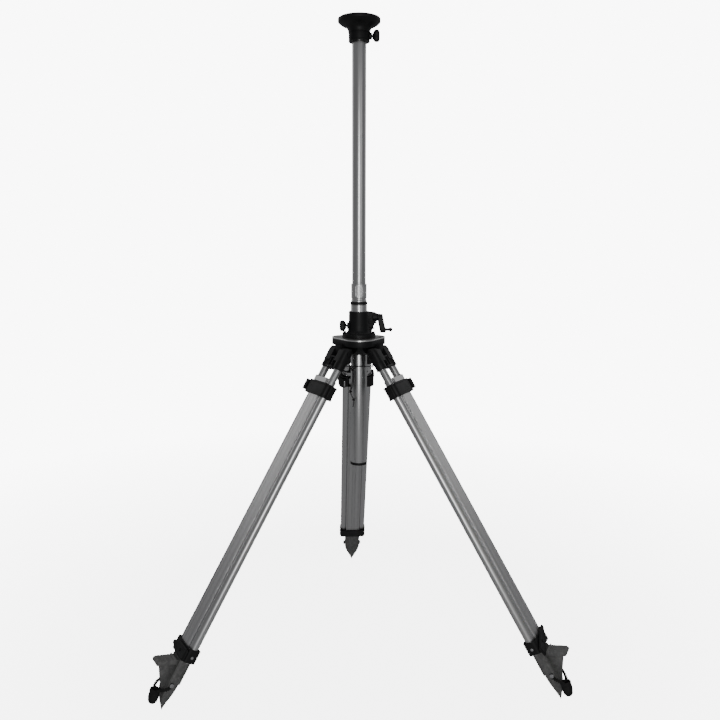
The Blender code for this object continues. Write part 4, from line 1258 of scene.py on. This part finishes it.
class TRIPOD_OT_middle_sections(bpy.types.Operator):
    """Grooved extrusions that run on the top tubes, with the collar on top"""
    bl_idname = "tripod.middle_sections"
    bl_label = "Middle sections"

    def execute(self, context):
        leg = context.scene.tripod_leg
        spacing = mm(leg.tube_spacing)
        channel = slab(mm(leg.channel_half), mm(leg.channel_depth), 2.0)
        bores = [circle(mm(leg.lobe_radius) - 1.0, 64, (side * spacing, 0.0)) for side in (-1.0, 1.0)]
        outline = section_loop(leg)
        for tag in LEGS:
            place, body = leg_place(tag), "middle_" + tag
            solid = Solid().drilled(outline, bores + [channel], up(168.5), up(1048.0))
            collar = collar_loop(leg, 33.5, -20.0, mm(leg.panel_depth), 0.5)
            solid.drilled(collar, [channel], up(1047.6), up(1062.6))
            solid.piece("extrusion_" + tag, leg_finish(extruded, tag), body,
                        ("middle_section_" + tag,), place, sharp=30.0)
            # Painted shade: a thin black lip over the collar and a black ring round the tube on the lever
            # side stand in for the dark, shadowed gap where the tubes enter the collar.
            shadow_gap_seal = collar_loop(leg, 33.2, -19.6, mm(leg.panel_depth) - 0.4, 0.3)
            lip = Solid().drilled(shadow_gap_seal, [channel], up(1062.7), up(1063.5))
            ring = rounded([(mm(leg.tube_radius) + 0.1, up(1062.6)), (13.6, up(1062.6)), (13.6, up(1066.2)),
                            (mm(leg.tube_radius) + 0.1, up(1066.2))], 0.5, 4)
            lip.shell(spun(ring, 48) + (lever_side(tag) * spacing, 0.0, 0.0), loop_rows=True)
            piece = lip.piece("seal_" + tag, leg_finish(moulded_black, tag), body, (), place)
        return {"FINISHED"}


def open_band(half, depth, radius, inner_half, inner_depth, inner_radius, gap):
    """C-shaped band, open on the inner side between the two ends of the gap."""
    low, high = gap
    corners = [(high, depth, 1.0), (half, depth, radius), (half, -depth, radius),
               (-half, -depth, radius), (-half, depth, radius), (low, depth, 1.0),
               (low, inner_depth, 1.0), (-inner_half, inner_depth, inner_radius),
               (-inner_half, -inner_depth, inner_radius), (inner_half, -inner_depth, inner_radius),
               (inner_half, inner_depth, inner_radius), (high, inner_depth, 1.0)]
    return rounded([c[:2] for c in corners], [c[2] for c in corners], 8)


UPPER_PIN_X = 42.0           # leg axis to the pin of the upper lever, across
UPPER_PIN_L = 1027.0         # height of its middle up the leg


def upper_lever_grid(side):
    """Bent lever of the upper clamp, pushed along the leg and placed on its pin."""
    outline = [(-3.0, -3.9), (8.0, -4.4), (14.6, -12.7), (14.6, -48.5), (16.5, -51.7),
               (21.5, -51.7), (22.5, -50.0), (22.5, -36.0), (20.2, -31.0), (19.4, -12.0),
               (14.0, 0.4), (8.0, 4.3), (-2.0, 4.3), (-4.6, 1.0)]
    lever = rounded([(side * a, b) for a, b in outline], 3.0, 6)
    return pushed(lever, -17.0, 17.0, 1.6, "z", 4) + (side * UPPER_PIN_X, 26.7, up(UPPER_PIN_L))


class TRIPOD_OT_upper_clamps(bpy.types.Operator):
    """Bands that hold the middle sections on the tubes, and their levers"""
    bl_idname = "tripod.upper_clamps"
    bl_label = "Upper clamps"

    def execute(self, context):
        leg = context.scene.tripod_leg
        half, depth = mm(leg.band_half), mm(leg.band_depth)
        low, high = up(1004.5), up(1047.0)
        for tag in LEGS:
            place, side = leg_place(tag), lever_side(tag)
            skin = leg_finish(moulded_black, tag)
            gap = sorted((-side * 27.0, side * 29.0))
            body = Solid().shell(pushed(open_band(half - 1.0, depth - 1.0, 13.5, 47.9, 17.0, 12.0, gap),
                                        low, high, 1.4, "z", 4))
            for start, end in ((low, low + 6.0), (high - 6.0, high)):
                lip = open_band(half, depth, 14.0, 48.4, 17.4, 12.0, gap)
                body.shell(pushed(lip, start, end, 1.2, "z", 4))
            reach = block_reach(tag, place, side)
            if reach > half:
                end = slab(0.5 * (reach - 50.0), 10.0, 3.0)
                block = pushed(end, low + 3.0, high - 3.0, 2.0, "z", 4)
                body.shell(block + (-side * 0.5 * (reach + 50.0), 1.0, 0.0))
            body.piece("clamp_band_" + tag, skin, "middle_" + tag, ("upper_clamp_" + tag,), place)
            solid = Solid().shell(upper_lever_grid(side))
            solid.piece("lever_" + tag, skin, "upper_lever_" + tag, ("upper_lever_" + tag,), place)
            middle = (side * UPPER_PIN_X, 28.6, up(UPPER_PIN_L))
            pin = rod(2.9, -11.5, 11.5, "z", middle, 0.6, 28)
            piece = Solid().shell(pin).piece("lever_pin_" + tag, leg_finish(bright_steel, tag),
                                             "upper_lever_" + tag, (), place)
        return {"FINISHED"}


def node_points(name, place):
    """The points of a CAD node in a place's own millimetres."""
    node = bpy.data.objects[name]
    points = np.array([node.matrix_world @ v.co for v in node.data.vertices])
    return (points - place.origin) / MM @ place.axes.T


def block_reach(tag, place, side):
    """How far the clamp reaches across the leg on the side without a lever, from its CAD node."""
    return np.max(-side * node_points("upper_clamp_" + tag, place)[:, 0])


class TRIPOD_OT_lower_clamps(bpy.types.Operator):
    """Bands at the foot of the middle sections, with their turning levers"""
    bl_idname = "tripod.lower_clamps"
    bl_label = "Lower clamps"

    def execute(self, context):
        outline = [(-42.0, -12.0), (-38.0, -16.0), (20.0, -16.0), (36.0, -9.0), (54.0, -5.0),
                   (58.0, 0.0), (54.0, 6.0), (38.0, 10.0), (22.0, 17.0), (-38.0, 17.0), (-42.0, 13.0)]
        rows = ((-20.4, 0.95), (-20.7, 0.985), (-21.4, 1.0), (-23.4, 1.0), (-24.8, 0.975),
                (-25.7, 0.93), (-26.2, 0.86), (-26.2, 0.78), (-25.4, 0.74))
        for tag in LEGS:
            place, side = leg_place(tag), lever_side(tag)
            skin = leg_finish(moulded_black, tag)
            pivot = lever_pivot(side)
            band = Solid().drilled(slab(50.4, 20.0, 13.0), [slab(47.9, 17.0, 12.0)], up(170.5), up(208.5))
            band.shell(rod(5.0, -26.0, -19.0)[..., [1, 0, 2]] + pivot)
            band.piece("foot_band_" + tag, skin, "middle_" + tag, ("lower_clamp_" + tag,), place, bevel=1.2)
            angle = lever_angle(tag, place, side)
            c, s = math.cos(angle), math.sin(angle)
            loop = rounded([(side * (a * c - b * s), a * s + b * c) for a, b in outline], 4.0, 5)
            plate = np.stack([placed(loop * scale, depth, "y") for depth, scale in rows])
            lever = Solid().shell(plate + pivot)
            lever.piece("foot_lever_" + tag, skin, "lower_lever_" + tag, ("lower_lever_" + tag,), place)
            bolt = rod(4.6, -27.2, -25.0, "x", (0.0, 0.0, 0.0), 0.8, 28)[..., [1, 0, 2]] + pivot
            piece = Solid().shell(bolt).piece("foot_bolt_" + tag, skin, "lower_lever_" + tag, (), place)
            rivets = Solid()
            for end in (-1.0, 1.0):
                rivets.shell(rod(4.4, end * 49.0, end * 51.2, "x", (0.0, 0.0, up(LOWER_BOLT_L)), 0.9, 28))
            steel = leg_finish(bright_steel, tag)
            piece = rivets.piece("foot_rivets_" + tag, steel, "middle_" + tag, (), place)
        return {"FINISHED"}


LOWER_BOLT_L = 187.0         # height of the lower clamp's bolt and rivets up the leg


def lever_pivot(side):
    """Where the bolt of the lower lever stands."""
    return np.array((-8.0 * side, 0.0, up(LOWER_BOLT_L)))


def lever_angle(tag, place, side):
    """Turn of the lower lever at rest, from the reach of its CAD node's pointed end."""
    local = node_points("lower_lever_" + tag, place) - lever_pivot(side)
    tip = local[np.argmax(np.hypot(local[:, 0], local[:, 2]))]
    return math.atan2(tip[2], side * tip[0])


SPIKE_TIP = 11.4             # heights up the leg: tip of the spike and top of the casting
CASTING_TOP = 166.0
TREAD_RISE = 0.22            # how fast the tread climbs outwards


def foot_body():
    """Rounded boxes that narrow down to the spike; width and depth follow smooth curves."""
    stations = [SPIKE_TIP, 38.0, 62.0, 96.0, 130.0, CASTING_TOP]
    halves = [1.2, 11.0, 21.0, 29.0, 29.0, 29.0]
    front = [-18.0, -16.8, -15.6, -14.5, -14.5, -14.5]
    back = [-16.6, 2.0, 13.0, 14.5, 14.5, 14.5]
    at = np.linspace(SPIKE_TIP, CASTING_TOP, 48)
    table = smooth(stations, np.stack([halves, front, back], axis=1), at)
    rows = []
    for l, (half, low, high) in zip(at, table):
        loop = slab(half, 0.5 * (high - low), min(4.0, 0.45 * (high - low)), 6)
        rows.append(placed(loop + (0.0, -0.5 * (high + low)), up(l), "z"))
    return np.stack(rows)


def tread_outline():
    """Side of the tread: a wedge whose top carries eight saw teeth."""
    tilt = math.asin(abs(leg_place("1").axes[2][0] / math.cos(math.radians(30.0))))
    tread = [(-10.0, up(146.0)), (-28.0, up(146.0)), (-66.0, up(131.0)), (-72.0, up(131.0)),
             (-75.0, up(135.0)), (-73.5, up(139.5))]
    for i in range(8):
        t = 70.0 - 5.2 * i
        l = (155.3 + TREAD_RISE * (t - 52.0)) / math.cos(tilt) - t * math.tan(tilt)
        tread += [(-t, up(l)), (2.6 - t, up(l))]
    return tread + [(-28.8, up(164.0)), (-28.8, up(161.5)), (-10.0, up(161.5))]


def foot_flanks(side):
    """Raised edges on the inner and outer side of the casting, on one of its flanks."""
    top = up(CASTING_TOP)
    inner = rounded([(14.0, top), (14.0, up(98.0)), (17.5, up(100.0)), (17.5, top)], 1.5, 4)
    outer = rounded([(-14.0, top), (-14.0, up(98.0)), (-17.5, up(101.0)), (-17.5, top)], 1.5, 4)
    low, high = sorted((side * 24.5, side * 28.4))
    return [pushed(edge, low, high, 0.8, "x") for edge in (inner, outer)]


class TRIPOD_OT_feet(bpy.types.Operator):
    """Cast feet with their stems, serrated treads and spikes"""
    bl_idname = "tripod.feet"
    bl_label = "Feet"

    def execute(self, context):
        body, tread = foot_body(), tread_outline()
        web = rounded([(-8.0, up(155.0)), (-58.0, up(138.0)), (-59.0, up(132.0)), (-32.0, up(90.0)),
                       (-10.0, up(57.0)), (-2.0, up(60.0))], 3.0, 5)
        for tag in LEGS:
            place = leg_place(tag)
            foot = Solid().shell(body)
            foot.shell(pushed(slab(20.6, 14.2, 2.0), up(160.0), up(760.0), 0.6, "z"))
            foot.shell(pushed(tread, -20.0, 20.0, 0.7, "x"))
            foot.shell(pushed(web, -6.0, 6.0, 1.2, "x"))
            for grid in foot_flanks(-1.0) + foot_flanks(1.0):
                foot.shell(grid)
            foot.piece("foot_casting_" + tag, leg_finish(casting, tag), "foot_" + tag,
                       ("foot_" + tag,), place, sharp=34.0)
            screw = [(2.0, -34.6), (2.6, -36.0), (4.6, -36.0), (6.0, -34.6), (6.0, -33.1), (2.5, -33.0),
                     (2.5, 33.0), (6.0, 33.1), (6.0, 34.6), (4.6, 36.0), (2.6, 36.0), (2.0, 34.6)]
            Solid().shell(spun(screw, 32, "x") + (0.0, -7.5, up(94.0))).piece(
                "screw_" + tag, leg_finish(bright_steel, tag), "foot_" + tag,
                ("strap_screw_" + tag,), place)
        return {"FINISHED"}


def cap_shift(tag, place):
    """How far across the leg the rubber cap hangs, from the middle of its CAD node's round end."""
    local = node_points("rubber_cap_" + tag, place)
    low = local[local[:, 2] < up(30.0)]
    return 0.5 * (low[:, 0].min() + low[:, 0].max())


class TRIPOD_OT_caps(bpy.types.Operator):
    """Rubber caps that hang on straps beside the spikes"""
    bl_idname = "tripod.caps"
    bl_label = "Rubber caps"

    def execute(self, context):
        tilt = math.radians(15.0)
        c, s = math.cos(tilt), math.sin(tilt)
        profile = rounded([(10.5, 64.0), (14.6, 64.0), (15.0, 62.0), (15.0, 55.0), (14.4, 54.0),
                           (14.4, 52.0), (15.0, 51.0), (15.0, 40.0), (13.0, 29.0), (8.5, 22.5),
                           (1.5, 20.0), (1.5, 28.0), (8.0, 32.0), (10.5, 42.0)], 0.9, 4)
        route = ((31.2, 0.0, 8.0, 100.0), (31.2, 0.0, 8.0, 88.0), (31.2, 0.1, 14.0, 81.0),
                 (27.5, 0.35, 21.0, 75.0), (20.5, 0.7, 27.0, 69.0), (14.2, 1.0, 30.0, 57.0))
        for tag in LEGS:
            place = leg_place(tag)
            shift = cap_shift(tag, place)
            x, y, z = np.moveaxis(spun(profile, 72), -1, 0)
            lean = np.stack([x + shift, -31.0 + y * c - (z - 62.0) * s,
                             up(62.0) + y * s + (z - 62.0) * c], axis=-1)
            solid = Solid().shell(lean, loop_rows=True)
            for side in (-1.0, 1.0):
                path = eased([(side * a + shift * f, -b, up(l)) for a, f, b, l in route], 1.5)
                notch = 4.5 + 1.1 * np.sign(np.sin(np.arange(len(path)) * 1.6))
                loops = np.stack([slab(1.7, w, 1.0, 4) for w in notch])
                solid.shell(along_path(path, loops[:, :, ::-1], (1.0, 0.0, 0.0)))
            solid.piece("cap_" + tag, leg_finish(rubber, tag), "cap_" + tag,
                        ("rubber_cap_" + tag,), place)
        return {"FINISHED"}


class TRIPOD_OT_shown_frame(bpy.types.Operator):
    """Materials for the CAD parts that stay in view: the bush, the rack and the pinion"""
    bl_idname = "tripod.shown_frame"
    bl_label = "Frame materials"

    def execute(self, context):
        for node, skin in (("slide_bush", finish(moulded_black, "column")),
                           ("gear_rack", finish(bright_steel, "column")),
                           ("pinion", finish(bright_steel, "column"))):
            mesh = bpy.data.objects[node].data
            mesh.materials.clear()
            mesh.materials.append(skin)
        return {"FINISHED"}


OPERATORS = (TRIPOD_OT_stage, TRIPOD_OT_cord, TRIPOD_OT_plate, TRIPOD_OT_stud, TRIPOD_OT_knobs,
             TRIPOD_OT_tubes, TRIPOD_OT_collar, TRIPOD_OT_housing, TRIPOD_OT_crank, TRIPOD_OT_head,
             TRIPOD_OT_hooks, TRIPOD_OT_leg_heads, TRIPOD_OT_leg_tubes, TRIPOD_OT_middle_sections,
             TRIPOD_OT_upper_clamps, TRIPOD_OT_lower_clamps, TRIPOD_OT_feet, TRIPOD_OT_caps,
             TRIPOD_OT_shown_frame)
GROUPS = {"tripod_colours": TripodColours, "tripod_column": TripodColumn, "tripod_leg": TripodLeg,
          "tripod_stage": TripodStage}


class TRIPOD_PT_panel(bpy.types.Panel):
    """Settings and pieces of the tripod"""
    bl_idname = "TRIPOD_PT_panel"
    bl_label = "Elevating tripod"
    bl_space_type = "VIEW_3D"
    bl_region_type = "UI"
    bl_category = "Tripod"

    def draw(self, context):
        for name, group in GROUPS.items():
            column = self.layout.column(align=True)
            for setting in group.__annotations__:
                column.prop(getattr(context.scene, name), setting)
        for operator in OPERATORS:
            self.layout.operator(operator.bl_idname)


def register():
    for name, group in GROUPS.items():
        bpy.utils.register_class(group)
        setattr(bpy.types.Scene, name, PointerProperty(type=group))
    for made in (*OPERATORS, TRIPOD_PT_panel):
        bpy.utils.register_class(made)


def unregister():
    for made in (TRIPOD_PT_panel, *reversed(OPERATORS)):
        bpy.utils.unregister_class(made)
    for name, group in reversed(GROUPS.items()):
        delattr(bpy.types.Scene, name)
        bpy.utils.unregister_class(group)


def main():
    register()
    for operator in OPERATORS:
        group, name = operator.bl_idname.split(".")
        getattr(getattr(bpy.ops, group), name)()
    sizes = {"cad": CAD_BOX, "visual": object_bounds()}
    sizes = {key: [list(map(float, corner)) for corner in value] for key, value in sizes.items()}


if __name__ == "__main__":
    main()
